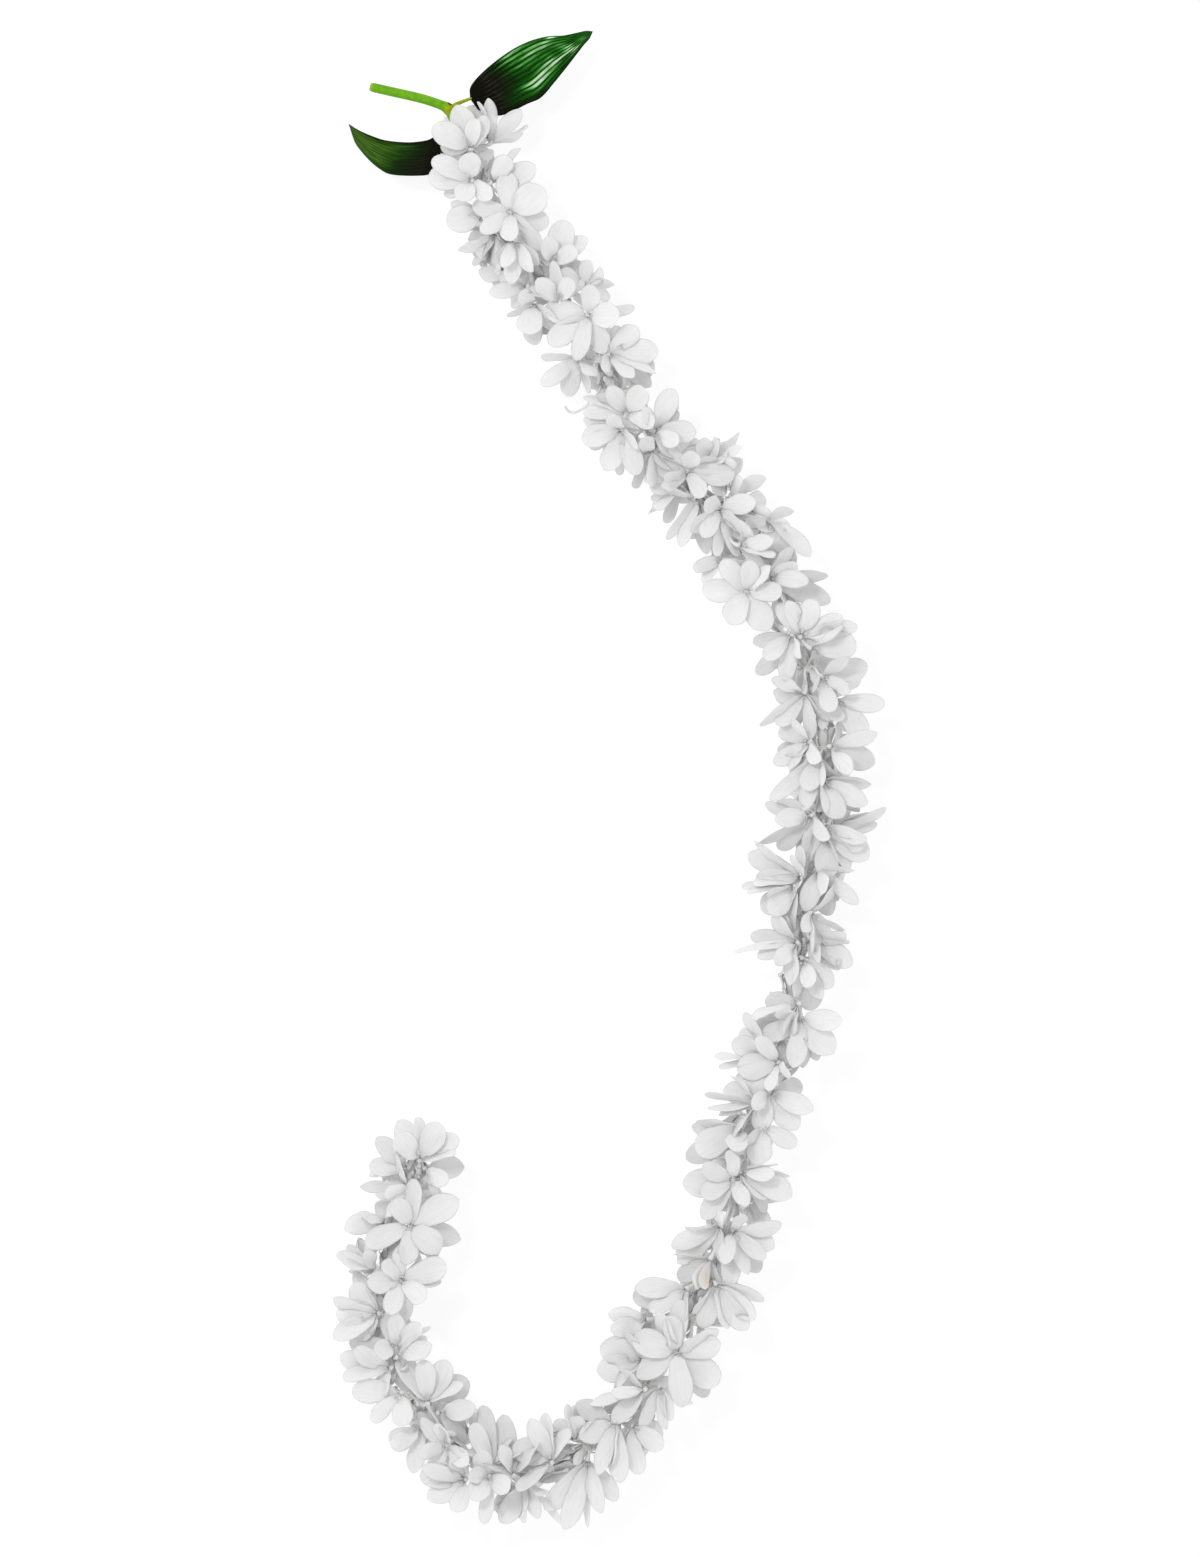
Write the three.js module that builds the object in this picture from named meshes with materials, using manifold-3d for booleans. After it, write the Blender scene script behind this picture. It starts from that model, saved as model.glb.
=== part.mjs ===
// A fresh flower lei, opened out and lying flat: a strand about a metre long of small white
// double florets, bound in bunches round a thin cord, with a cut green stem and two dark
// glossy leaves lashed in at one end. Millimetres, +Z up, the table at z = 0.
import * as THREE from "three";
import { mergeVertices } from "three/addons/utils/BufferGeometryUtils.js";
import Module from "manifold-3d";

const wasm = await Module();
wasm.setup();

// ---- Driving dimensions, in millimetres unless a name says degrees ----
const MM_PER_PIXEL = 0.5; // a strand opened from a one-metre loop spans 2000 pixels
const PICTURE_CENTRE = [605, 773]; // the pixel over the origin
const AXIS_HEIGHT = 23; // of the cord above the table
const GAP = 0.3; // between pieces that touch
const WELD = 1e-4; // vertices nearer than this are one

const CORD_RADIUS = 1.2;
const CORD_SIDES = 8;
const CORD_STEPS = 80;

const BUNCH_COUNT = 47;
const FIRST_BUNCH = 15; // from the start of the cord
const LAST_BUNCH = 7; // from its end
const BINDING = { inner: 2.2, outer: 3.6, halfLength: 3, sides: 6 };
const KNOT = { inner: 1.7, outer: 3, halfLength: 1.6, sides: 8 };
const KNOT_FROM_END = 1.4;

const PETALS = 6;
const PETAL_REACH = 18.5; // from the neck to a petal's tip
const PETAL_OPENING = 66; // degrees from the floret's axis to its petals
const PRESSED_OPENING = 78; // where the table holds them flat
const PETAL_NOTCH = 0.62; // how far out two petals part, as a share of PETAL_REACH
const NOTCH_LIFT = 0.9; // and how far they stand forward there
const HEAD_DEPTH = 2.6; // from the throat back to the neck
const STALK_RADIUS = 0.9;
const STALK_SIDES = 3;
const STALK_EASE = 12; // length of stalk that is as hard to fit in as a bend of a radian
const STALK_FOOT = 2.7; // from the cord's axis, inside the binding
const THROAT_REACH = 12; // from the cord's axis to an upper floret's throat
const LEANING_REACH = 12.5; // and to the throat of one that leans out underneath
const LEAST_REACH = 8.5; // and the least of that, where florets face sideways
const CORD_ROOM = 1.7; // petals stay this far from the cord's axis

const STEM_RADIUS = 1.8;
const STEM_SIDES = 8;
const STEM_STEPS = 14;
const NODE_RADIUS = 2.9; // the swelling where the leaf grows out
const LASHING = { from: 1.5, length: 5, wall: 1 };
const PETIOLE_RADIUS = 1;
const LEAF_THICKNESS = 0.7;
const LEAF_TROUGH = 0.16; // rise of the blade's edges over its middle, as a share of half its width
const LEAF_CLEARANCE = 0.5;
const GREENERY_END = 45; // bunches nearer the cord's start than this may meet the greenery

// The cord's course, chosen by hand along the middle of the strand, in pixels.
const CORD_COURSE = [
  [455, 118], [486, 192], [533, 265], [582, 334], [630, 405],
  [686, 475], [738, 534], [784, 606], [815, 684], [826, 765],
  [813, 850], [801, 930], [786, 1026], [754, 1117], [733, 1200],
  [711, 1275], [664, 1351], [615, 1422], [548, 1466], [474, 1459],
  [415, 1402], [384, 1325], [393, 1248], [412, 1180], [418, 1140],
];

// The florets that show from above: throat in pixels, then the way the floret faces, in
// degrees: round from the picture's right, and tilted away from straight up.
const UPPER_FLORETS = [
  [469, 146, 120, 40], [495, 139, 50, 78], [470, 181, 180, 25], [495, 178, 60, 70],
  [510, 212, 0, 0], [479, 215, 190, 60], [491, 237, 215, 80], [516, 247, 262, 50],
  [507, 274, 200, 75], [554, 261, 60, 50], [522, 288, 190, 60], [559, 297, 100, 50],
  [587, 284, 30, 75], [588, 315, 0, 5], [533, 307, 250, 50], [575, 362, 240, 75],
  [612, 354, 10, 35], [627, 412, 75, 28], [619, 432, 225, 35], [660, 432, 0, 60],
  [651, 457, 265, 75], [688, 471, 0, 8], [714, 461, 20, 80], [676, 491, 255, 80],
  [721, 511, 300, 25], [695, 503, 235, 70], [735, 491, 40, 80], [747, 505, 0, 60],
  [745, 545, 10, 60], [717, 560, 190, 80], [769, 518, 45, 80], [747, 592, 0, 0],
  [774, 578, 0, 65], [803, 632, 65, 60], [790, 639, 240, 50], [816, 650, 340, 70],
  [826, 680, 330, 50], [841, 701, 345, 65], [802, 698, 235, 60], [804, 743, 180, 55],
  [835, 747, 345, 60], [816, 761, 240, 60], [826, 783, 320, 55], [808, 819, 215, 45],
  [839, 828, 20, 75], [828, 828, 310, 60], [826, 840, 285, 55], [796, 877, 170, 60],
  [821, 874, 300, 65], [791, 891, 235, 50], [816, 915, 330, 70], [791, 942, 180, 70],
  [814, 941, 325, 55], [803, 963, 280, 55], [792, 1005, 180, 70], [801, 1020, 280, 30],
  [761, 1054, 170, 70], [776, 1062, 150, 25], [771, 1095, 300, 35], [750, 1103, 175, 85],
  [738, 1130, 240, 40], [764, 1130, 290, 40], [731, 1180, 180, 15], [746, 1173, 350, 60],
  [734, 1232, 290, 25], [716, 1229, 215, 55], [707, 1263, 235, 65], [719, 1288, 300, 55],
  [682, 1290, 200, 55], [676, 1352, 0, 0], [642, 1319, 175, 70], [637, 1360, 165, 55],
  [639, 1390, 190, 65], [660, 1393, 275, 65], [612, 1425, 230, 45], [636, 1429, 310, 60],
  [587, 1466, 265, 65], [571, 1435, 120, 70], [548, 1458, 135, 55], [525, 1488, 265, 80],
  [512, 1469, 100, 60], [489, 1478, 250, 20], [491, 1460, 100, 70], [462, 1481, 200, 40],
  [445, 1446, 200, 25], [418, 1433, 215, 65], [444, 1413, 0, 60], [427, 1398, 97, 52],
  [397, 1395, 215, 55], [386, 1369, 190, 55], [396, 1347, 90, 20], [402, 1354, 30, 65],
  [374, 1313, 185, 55], [402, 1279, 60, 15], [371, 1266, 150, 65], [411, 1225, 0, 5],
  [380, 1222, 175, 65], [402, 1187, 185, 70], [430, 1171, 350, 60], [405, 1165, 160, 35],
  [421, 1157, 70, 45],
];

// The florets underneath, one to a bunch: every third is pressed flat on the table, and the
// two between lean out to either side. Degrees from straight down, towards the left.
const UNDER_LEANS = [0, 52, -52];

// The stem: pixels and height, from its cut end to its tail on top of the cord.
const STEM_TAIL_HEIGHT = AXIS_HEIGHT + CORD_RADIUS + GAP + STEM_RADIUS;
const STEM_COURSE = [
  [372, 87, 20], [398, 93, 22.5], [425, 98, 25], [443, 104, 26.5],
  [450, 109, STEM_TAIL_HEIGHT], [454, 117, STEM_TAIL_HEIGHT], [459.5, 130, STEM_TAIL_HEIGHT],
];
const STEM_NODE = [448, 107, 26.4];

// Each leaf: its stalk's course, its blade's middle line from base to tip, half its width
// in millimetres along that line, and how far it is rolled about the line in degrees.
const PETIOLE_HEIGHT = AXIS_HEIGHT - CORD_RADIUS - GAP - PETIOLE_RADIUS;
const RIGHT_LEAF = {
  stalk: [[453.6, 104.5, 27.5], [462, 101.5, 28.2], [473, 97.5, 28.6]],
  middle: [
    [471, 98, 28.5], [492, 92, 29.5], [520, 76, 30], [548, 59, 28], [572, 45, 24], [592, 33, 19],
  ],
  halfWidths: [1, 10.5, 12.4, 9.8, 4.6, 0.5],
  roll: 0,
};
const LEFT_LEAF = {
  stalk: [
    [455.5, 119.5, PETIOLE_HEIGHT], [460, 130, PETIOLE_HEIGHT], [458, 140, 20.5],
    [450, 148, 20], [438, 153, 19.5],
  ],
  middle: [
    [440, 152, 19.6], [424, 158, 19.5], [404, 159, 18.5], [382, 154, 16], [363, 140, 12],
    [349, 125, 8],
  ],
  halfWidths: [1, 8.2, 9.6, 8.4, 4.6, 0.5],
  roll: -36,
};

const COLOURS = {
  petal: 0xf4f4f2, cord: 0xe6e3d6, thread: 0xdfe0cf, stem: 0x6db51c, leaf: 0x123f12,
};

// ---- Small helpers ----
const UP = new THREE.Vector3(0, 0, 1);
const radians = THREE.MathUtils.degToRad;

function fromPicture([px, py, height = AXIS_HEIGHT]) {
  const x = (px - PICTURE_CENTRE[0]) * MM_PER_PIXEL;
  const y = (PICTURE_CENTRE[1] - py) * MM_PER_PIXEL;
  return new THREE.Vector3(x, y, height);
}

function curveThrough(points) {
  return new THREE.CatmullRomCurve3(points.map(fromPicture), false, "catmullrom", 0.5);
}

// A fixed irregular number from -1 to 1 for the nth piece.
function wobble(n, salt) {
  const spread = Math.sin(n * 12.9898 + salt * 78.233) * 43758.5453;
  return (spread - Math.floor(spread)) * 2 - 1;
}

function toSolid(geometry) {
  geometry.deleteAttribute("normal");
  geometry.deleteAttribute("uv");
  const welded = mergeVertices(geometry, WELD);
  const corners = welded.index.array;
  const triangles = [];
  for (let i = 0; i < corners.length; i += 3) {
    const [a, b, c] = corners.slice(i, i + 3);
    if (a !== b && b !== c && c !== a) triangles.push(a, b, c);
  }
  const mesh = new wasm.Mesh({
    numProp: 3,
    vertProperties: new Float32Array(welded.attributes.position.array),
    triVerts: new Uint32Array(triangles),
  });
  return new wasm.Manifold(mesh);
}

function toGeometry(solid) {
  const { vertProperties, triVerts } = solid.getMesh();
  const geometry = new THREE.BufferGeometry();
  geometry.setAttribute("position", new THREE.BufferAttribute(vertProperties, 3));
  geometry.setIndex(new THREE.BufferAttribute(triVerts, 1));
  geometry.computeVertexNormals();
  return geometry;
}

function largestPiece(solid) {
  const pieces = solid.decompose();
  return pieces.reduce((best, piece) => (piece.volume() > best.volume() ? piece : best));
}

function keepSide(solid, normal, offset) {
  return solid.trimByPlane(normal.toArray(), offset);
}

// ---- The cord and places along it ----
const course = curveThrough(CORD_COURSE);
course.arcLengthDivisions = 2000;
const CORD_LENGTH = course.getLength();
const BUNCH_SPACING = (CORD_LENGTH - FIRST_BUNCH - LAST_BUNCH) / (BUNCH_COUNT - 1);

function placeAt(distance) {
  const share = distance / CORD_LENGTH;
  const along = course.getTangentAt(share);
  return { centre: course.getPointAt(share), along, left: UP.clone().cross(along) };
}

function nearestDistance(point) {
  const samples = 1000;
  let best = { gap: Infinity, distance: 0 };
  for (let i = 0; i <= samples; i += 1) {
    const onCord = course.getPointAt(i / samples);
    const gap = Math.hypot(onCord.x - point.x, onCord.y - point.y);
    if (gap < best.gap) best = { gap, distance: (i / samples) * CORD_LENGTH };
  }
  return best.distance;
}

function roundSection(radius, sides) {
  const outline = [];
  for (let i = 0; i < sides; i += 1) {
    const angle = (i / sides) * 2 * Math.PI;
    outline.push(new THREE.Vector2(radius * Math.cos(angle), radius * Math.sin(angle)));
  }
  return new THREE.Shape(outline);
}

function tube(path, radius, sides, steps) {
  const options = { steps, bevelEnabled: false, extrudePath: path };
  return new THREE.ExtrudeGeometry(roundSection(radius, sides), options);
}

// A ring round the cord, with its faces square to it.
function ringOnCord({ inner, outer, halfLength, sides }, distance) {
  const profile = [
    [inner, -halfLength], [outer, -halfLength], [outer, halfLength], [inner, halfLength],
    [inner, -halfLength],
  ].map(([radius, height]) => new THREE.Vector2(radius, height));
  const ring = new THREE.LatheGeometry(profile, sides);
  const { centre, along } = placeAt(distance);
  const latheAxis = new THREE.Vector3(0, 1, 0);
  ring.applyQuaternion(new THREE.Quaternion().setFromUnitVectors(latheAxis, along));
  ring.translate(centre.x, centre.y, centre.z);
  return ring;
}

// ---- Florets ----
// Points on a circle round a centre, square to an axis, counted from a sideways direction.
function circlePoints({ centre, axis, from, radius, count }) {
  const start = from.clone().addScaledVector(axis, -from.dot(axis)).normalize();
  const quarter = axis.clone().cross(start);
  return Array.from({ length: count }, (_, i) => {
    const angle = (i / count) * 2 * Math.PI;
    const point = centre.clone().addScaledVector(start, radius * Math.cos(angle));
    return point.addScaledVector(quarter, radius * Math.sin(angle));
  });
}

// A floret is a shallow star-shaped cup on a thin stalk. The cup's rim runs from petal tip
// to notch, one low cone closes it in front at the throat, and another behind at the neck.
function floretBody({ foot, neck, throat, facing, spin, opening, notchLift }) {
  const slope = Math.cos(radians(opening));
  const spread = Math.sin(radians(opening));
  const level = Math.abs(facing.z) < 0.9 ? UP : new THREE.Vector3(1, 0, 0);
  const sideways = facing.clone().cross(level).normalize().applyAxisAngle(facing, spin);
  const rimAt = (share, lift) => circlePoints({
    centre: neck.clone().addScaledVector(facing, PETAL_REACH * share * slope + lift),
    axis: facing, from: sideways, radius: PETAL_REACH * share * spread, count: 2 * PETALS,
  });
  const tips = rimAt(1, 0);
  const notches = rimAt(PETAL_NOTCH, notchLift);
  const rim = tips.map((tip, i) => (i % 2 === 0 ? tip : notches[i]));
  const stalkAxis = neck.clone().sub(foot).normalize();
  const neckAxis = stalkAxis.clone().add(facing).normalize();
  const section = { from: sideways, radius: STALK_RADIUS, count: STALK_SIDES };
  const neckRing = circlePoints({ centre: neck, axis: neckAxis, ...section });
  const footRing = circlePoints({ centre: foot, axis: stalkAxis, ...section });
  const corners = [];
  const rimShare = rim.length / STALK_SIDES;
  rim.forEach((point, i) => {
    const next = rim[(i + 1) % rim.length];
    const behind = Math.floor((i + rimShare / 2) / rimShare) % STALK_SIDES;
    corners.push(throat, point, next, neckRing[behind], next, point);
  });
  neckRing.forEach((point, j) => {
    const next = (j + 1) % STALK_SIDES;
    const seam = rim[Math.round((j + 0.5) * rimShare)];
    corners.push(seam, point, neckRing[next]);
    corners.push(neckRing[next], point, footRing[j], neckRing[next], footRing[j], footRing[next]);
  });
  corners.push(footRing[0], footRing[2], footRing[1]);
  return toSolid(new THREE.BufferGeometry().setFromPoints(corners));
}

// Where a floret's stalk leaves the binding of its bunch, on the side of its neck.
function footOf(neck, bunch) {
  const { centre, along } = placeAt(FIRST_BUNCH + bunch * BUNCH_SPACING);
  const outward = neck.clone().sub(centre);
  outward.addScaledVector(along, -outward.dot(along)).normalize();
  return centre.addScaledVector(outward, STALK_FOOT);
}

// The bunch that a floret's stalk reaches with the least bend and length.
function bunchFor({ neck, facing }, distance) {
  const nearest = Math.round((distance - FIRST_BUNCH) / BUNCH_SPACING);
  const strain = (bunch) => {
    const reach = neck.clone().sub(footOf(neck, bunch));
    return facing.angleTo(reach) + reach.length() / STALK_EASE;
  };
  const inReach = [nearest - 1, nearest, nearest + 1].filter((k) => k >= 0 && k < BUNCH_COUNT);
  return inReach.reduce((best, bunch) => (strain(bunch) < strain(best) ? bunch : best));
}

function upperFloret([px, py, round, tilt], index) {
  const facing = new THREE.Vector3(Math.cos(radians(round)), Math.sin(radians(round)), 0);
  facing.multiplyScalar(Math.sin(radians(tilt))).setZ(Math.cos(radians(tilt)));
  const picked = fromPicture([px, py]);
  const distance = nearestDistance(picked);
  const { centre, left } = placeAt(distance);
  const sideways = facing.dot(left);
  const steepness = Math.hypot(facing.z, sideways);
  const outward = picked.sub(centre).dot(left);
  let height = (THROAT_REACH * facing.z) / steepness;
  if (outward * Math.sign(sideways) < (LEAST_REACH * Math.abs(sideways)) / steepness) {
    height = Math.max(height, Math.sqrt(THROAT_REACH ** 2 - outward ** 2)); // faces over the cord
  }
  const throat = centre.addScaledVector(left, outward);
  throat.z += height;
  const neck = throat.clone().addScaledVector(facing, -HEAD_DEPTH);
  const bunch = bunchFor({ neck, facing }, distance);
  const spin = wobble(index, 1) * Math.PI;
  return { bunch, neck, throat, facing, spin, opening: PETAL_OPENING, notchLift: NOTCH_LIFT };
}

function underFloret(bunch) {
  const { centre, left } = placeAt(FIRST_BUNCH + bunch * BUNCH_SPACING);
  const lean = UNDER_LEANS[bunch % UNDER_LEANS.length];
  const facing = UP.clone().multiplyScalar(-Math.cos(radians(lean)));
  facing.addScaledVector(left, Math.sin(radians(lean)));
  const spin = wobble(bunch, 2) * Math.PI;
  if (lean === 0) {
    const neck = centre.clone().setZ(PETAL_REACH * Math.cos(radians(PRESSED_OPENING)));
    const notchLift = neck.z * (1 - PETAL_NOTCH); // throat, tips and notches all on the table
    const throat = centre.setZ(0);
    return { bunch, neck, throat, facing, spin, opening: PRESSED_OPENING, notchLift };
  }
  const throat = centre.addScaledVector(facing, LEANING_REACH);
  const neck = throat.clone().addScaledVector(facing, -HEAD_DEPTH);
  return { bunch, neck, throat, facing, spin, opening: PETAL_OPENING, notchLift: NOTCH_LIFT };
}

const florets = UPPER_FLORETS.map(upperFloret);
for (let bunch = 0; bunch < BUNCH_COUNT; bunch += 1) florets.push(underFloret(bunch));
for (const floret of florets) {
  floret.foot = footOf(floret.neck, floret.bunch);
  floret.spine = [floret.foot, floret.neck, floret.throat];
}

// The widest clear slot between two florets' spines, among a few directions.
function slotBetween(one, other) {
  const directions = [
    other.throat.clone().sub(one.throat),
    other.neck.clone().sub(one.neck),
    other.neck.clone().sub(one.foot),
    other.foot.clone().sub(one.neck),
    other.foot.clone().sub(one.foot),
    other.throat.clone().sub(one.throat).add(other.foot).sub(one.foot),
  ];
  let best = { width: -Infinity };
  for (const direction of directions) {
    const normal = direction.normalize();
    const near = Math.max(...one.spine.map((point) => point.dot(normal)));
    const far = Math.min(...other.spine.map((point) => point.dot(normal)));
    if (far - near > best.width) best = { width: far - near, normal, middle: (near + far) / 2 };
  }
  return best;
}

// ---- Stem, leaves and lashing ----
function bladeGeometry({ middle, halfWidths, roll }, grow) {
  const line = curveThrough(middle);
  const lengthSteps = 10;
  const widthSteps = 4;
  const rows = [];
  for (let i = 0; i <= lengthSteps; i += 1) {
    const share = i / lengthSteps;
    const centre = line.getPoint(share);
    const along = line.getTangent(share);
    const sideways = UP.clone().cross(along).normalize().applyAxisAngle(along, radians(roll));
    const normal = along.clone().cross(sideways).normalize();
    const slot = Math.min(Math.floor(share * (middle.length - 1)), middle.length - 2);
    const within = share * (middle.length - 1) - slot;
    const half = THREE.MathUtils.lerp(halfWidths[slot], halfWidths[slot + 1], within) + grow;
    const row = [];
    for (let side = -1; side <= 1; side += 2) {
      for (let j = 0; j <= widthSteps; j += 1) {
        const across = side * (1 - (2 * j) / widthSteps);
        const trough = LEAF_TROUGH * half * across * across;
        const point = centre.clone().addScaledVector(sideways, across * half);
        row.push(point.addScaledVector(normal, trough - side * (LEAF_THICKNESS / 2 + grow)));
      }
    }
    rows.push(row);
  }
  const around = rows[0].length;
  const last = rows.length - 1;
  const triangles = [];
  const addQuad = (a, b, c, d) => triangles.push(a, b, c, a, c, d);
  for (let i = 0; i < last; i += 1) {
    for (let j = 0; j < around; j += 1) {
      const next = (j + 1) % around;
      addQuad(rows[i][j], rows[i + 1][j], rows[i + 1][next], rows[i][next]);
    }
  }
  for (let j = 0; j < widthSteps; j += 1) {
    const back = around - 1 - j;
    addQuad(rows[0][j], rows[0][j + 1], rows[0][back - 1], rows[0][back]);
    addQuad(rows[last][j], rows[last][back], rows[last][back - 1], rows[last][j + 1]);
  }
  return new THREE.BufferGeometry().setFromPoints(triangles);
}

function leafSolid(leaf, grow = 0) {
  const stalkSteps = 8;
  const stalk = tube(curveThrough(leaf.stalk), PETIOLE_RADIUS + grow, 6, stalkSteps);
  return toSolid(bladeGeometry(leaf, grow)).add(toSolid(stalk));
}

function stemSolid(grow = 0) {
  const stem = toSolid(tube(curveThrough(STEM_COURSE), STEM_RADIUS + grow, STEM_SIDES, STEM_STEPS));
  const swelling = new THREE.IcosahedronGeometry(NODE_RADIUS + grow, 1);
  const place = fromPicture(STEM_NODE);
  swelling.translate(place.x, place.y, place.z);
  return stem.add(toSolid(swelling));
}

// Turns of thread round the stem's tail, the cord and the left leaf's stalk.
function lashingSolid(grow = 0) {
  const inner = STEM_RADIUS + GAP;
  const top = STEM_TAIL_HEIGHT - AXIS_HEIGHT;
  const bottom = PETIOLE_HEIGHT - PETIOLE_RADIUS - GAP - AXIS_HEIGHT + inner;
  const racetrack = (Outline, radius) => {
    const outline = new Outline();
    outline.absarc(0, top, radius, 0, Math.PI, false);
    outline.absarc(0, bottom, radius, Math.PI, 2 * Math.PI, false);
    return outline;
  };
  const section = racetrack(THREE.Shape, inner + LASHING.wall + grow);
  if (grow === 0) section.holes.push(racetrack(THREE.Path, inner));
  const options = { depth: LASHING.length + 2 * grow, bevelEnabled: false, curveSegments: 6 };
  const band = new THREE.ExtrudeGeometry(section, options);
  band.translate(0, 0, -grow);
  const { centre, along, left } = placeAt(LASHING.from);
  band.applyMatrix4(new THREE.Matrix4().makeBasis(left, UP, along));
  band.translate(centre.x, centre.y, centre.z);
  return toSolid(band);
}

// ---- Bunches: the florets bound to one place on the cord ----
const cordRoom = toSolid(tube(course, CORD_ROOM, 6, CORD_STEPS));

function ringRoom(ring, distance) {
  const room = { outer: ring.outer + GAP, halfLength: ring.halfLength + GAP, sides: ring.sides };
  return toSolid(ringOnCord({ ...room, inner: CORD_RADIUS / 2 }, distance));
}

const ringRooms = [];
for (let bunch = 0; bunch < BUNCH_COUNT; bunch += 1) {
  ringRooms.push(ringRoom(BINDING, FIRST_BUNCH + bunch * BUNCH_SPACING));
}
ringRooms.push(ringRoom(KNOT, CORD_LENGTH - KNOT_FROM_END));
const greenery = [
  stemSolid(LEAF_CLEARANCE), leafSolid(RIGHT_LEAF, LEAF_CLEARANCE),
  leafSolid(LEFT_LEAF, LEAF_CLEARANCE), lashingSolid(LEAF_CLEARANCE),
];

// A floret before its neighbours press on it: petals clear of the cord, the bindings or the
// knot beside its own, and the table.
function looseFloret(floret) {
  const { centre, along } = placeAt(FIRST_BUNCH + floret.bunch * BUNCH_SPACING);
  const outward = floret.neck.clone().sub(centre);
  outward.addScaledVector(along, -outward.dot(along)).normalize();
  let solid = keepSide(floretBody(floret), outward, outward.dot(centre) + CORD_RADIUS + GAP);
  solid = solid.subtract(cordRoom);
  for (const neighbour of [ringRooms[floret.bunch - 1], ringRooms[floret.bunch + 1]]) {
    if (neighbour) solid = solid.subtract(neighbour);
  }
  return keepSide(largestPiece(solid), UP, 0);
}

// Petals of two bunches that would meet are trimmed back to a narrow slot between them.
function partNeighbours(one, other) {
  if (one.solid.minGap(other.solid, GAP) >= GAP) return;
  const slot = slotBetween(one, other);
  if (one.bunch === other.bunch && slot.width < GAP) return;
  one.solid = keepSide(one.solid, slot.normal.clone().negate(), GAP / 2 - slot.middle);
  other.solid = keepSide(other.solid, slot.normal, slot.middle + GAP / 2);
}

for (const floret of florets) floret.solid = looseFloret(floret);
florets.forEach((floret, index) => {
  for (const other of florets.slice(index + 1)) partNeighbours(floret, other);
});

function bunchSolid(bunch) {
  const distance = FIRST_BUNCH + bunch * BUNCH_SPACING;
  const nearGreenery = distance < GREENERY_END ? greenery : [];
  const members = florets.filter((floret) => floret.bunch === bunch).map(({ solid }) => {
    return largestPiece(nearGreenery.reduce((rest, piece) => rest.subtract(piece), solid));
  });
  return wasm.Manifold.union([toSolid(ringOnCord(BINDING, distance)), ...members]);
}

// ---- The lei ----
const lei = new THREE.Group();

function addPiece(name, solid, colour, roughness) {
  const material = new THREE.MeshStandardMaterial({ color: colour, roughness, metalness: 0 });
  const piece = new THREE.Mesh(toGeometry(solid), material);
  piece.name = name;
  lei.add(piece);
}

const coreCord = toSolid(tube(course, CORD_RADIUS, CORD_SIDES, CORD_STEPS));
const endKnot = toSolid(ringOnCord(KNOT, CORD_LENGTH - KNOT_FROM_END));
addPiece("core_cord", coreCord, COLOURS.cord, 0.8);
addPiece("stem", stemSolid(), COLOURS.stem, 0.45);
addPiece("leaf_right", leafSolid(RIGHT_LEAF), COLOURS.leaf, 0.3);
addPiece("leaf_left", leafSolid(LEFT_LEAF), COLOURS.leaf, 0.3);
addPiece("stem_lashing", lashingSolid(), COLOURS.thread, 0.8);
addPiece("end_knot", endKnot, COLOURS.thread, 0.8);
for (let bunch = 0; bunch < BUNCH_COUNT; bunch += 1) {
  const name = `floret_bunch_${String(bunch + 1).padStart(2, "0")}`;
  addPiece(name, bunchSolid(bunch), COLOURS.petal, 0.55);
}

export default lei;
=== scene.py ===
"""A fresh flower lei, opened out and lying flat on a white table, seen from straight above.

A strand about a metre long of small white double florets, bound in bunches round a thin
cotton cord, with a cut green stem and two dark glossy leaves lashed in at one end. Shapes
are worked out in millimetres and written to the scene in metres. The places along the
cord, the florets' throats and facings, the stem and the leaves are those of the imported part.
"""
import math
import random

import bpy
import numpy as np
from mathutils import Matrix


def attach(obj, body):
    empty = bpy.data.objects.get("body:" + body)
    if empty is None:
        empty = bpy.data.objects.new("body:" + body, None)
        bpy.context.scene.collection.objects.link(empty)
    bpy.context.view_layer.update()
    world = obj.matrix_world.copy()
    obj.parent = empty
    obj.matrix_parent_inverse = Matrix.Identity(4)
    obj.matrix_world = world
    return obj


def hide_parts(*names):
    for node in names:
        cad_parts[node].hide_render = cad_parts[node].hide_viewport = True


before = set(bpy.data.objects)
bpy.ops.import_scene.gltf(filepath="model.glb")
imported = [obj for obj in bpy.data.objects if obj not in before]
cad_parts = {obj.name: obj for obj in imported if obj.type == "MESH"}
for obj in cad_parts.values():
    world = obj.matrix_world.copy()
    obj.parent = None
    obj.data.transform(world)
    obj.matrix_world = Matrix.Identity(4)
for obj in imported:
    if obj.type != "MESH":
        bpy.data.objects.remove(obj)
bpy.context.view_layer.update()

# ---- Driving dimensions, in millimetres unless a comment says otherwise ----
MM_PER_PIXEL = 0.5
PICTURE_SIZE = (1200, 1557)
PICTURE_CENTRE = (605, 773)  # the pixel over the origin
AXIS_HEIGHT = 23.0  # of the cord above the table

BUNCH_COUNT = 47
FIRST_BUNCH = 15.0  # from the start of the cord
LAST_BUNCH = 7.0  # from its end
KNOT_FROM_END = 1.4
CORD_RADIUS = 1.2
GAP = 0.3  # between a piece and what it rests on

PETAL_REACH = 18.5  # from the neck to a petal's tip
PRESSED_OPENING = 78  # degrees to which the table opens the petals that it holds flat
HEAD_DEPTH = 2.6  # from the throat back to the neck
STALK_EASE = 12.0  # length of stalk that is as hard to fit in as a bend of a radian
STALK_FOOT = 2.7  # from the cord's axis, inside the binding
THROAT_REACH = 12.0  # from the cord's axis to an upper floret's throat
LEANING_REACH = 12.5  # and to the throat of one that leans out underneath
LEAST_REACH = 8.5  # and the least of that, where florets face sideways

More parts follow.
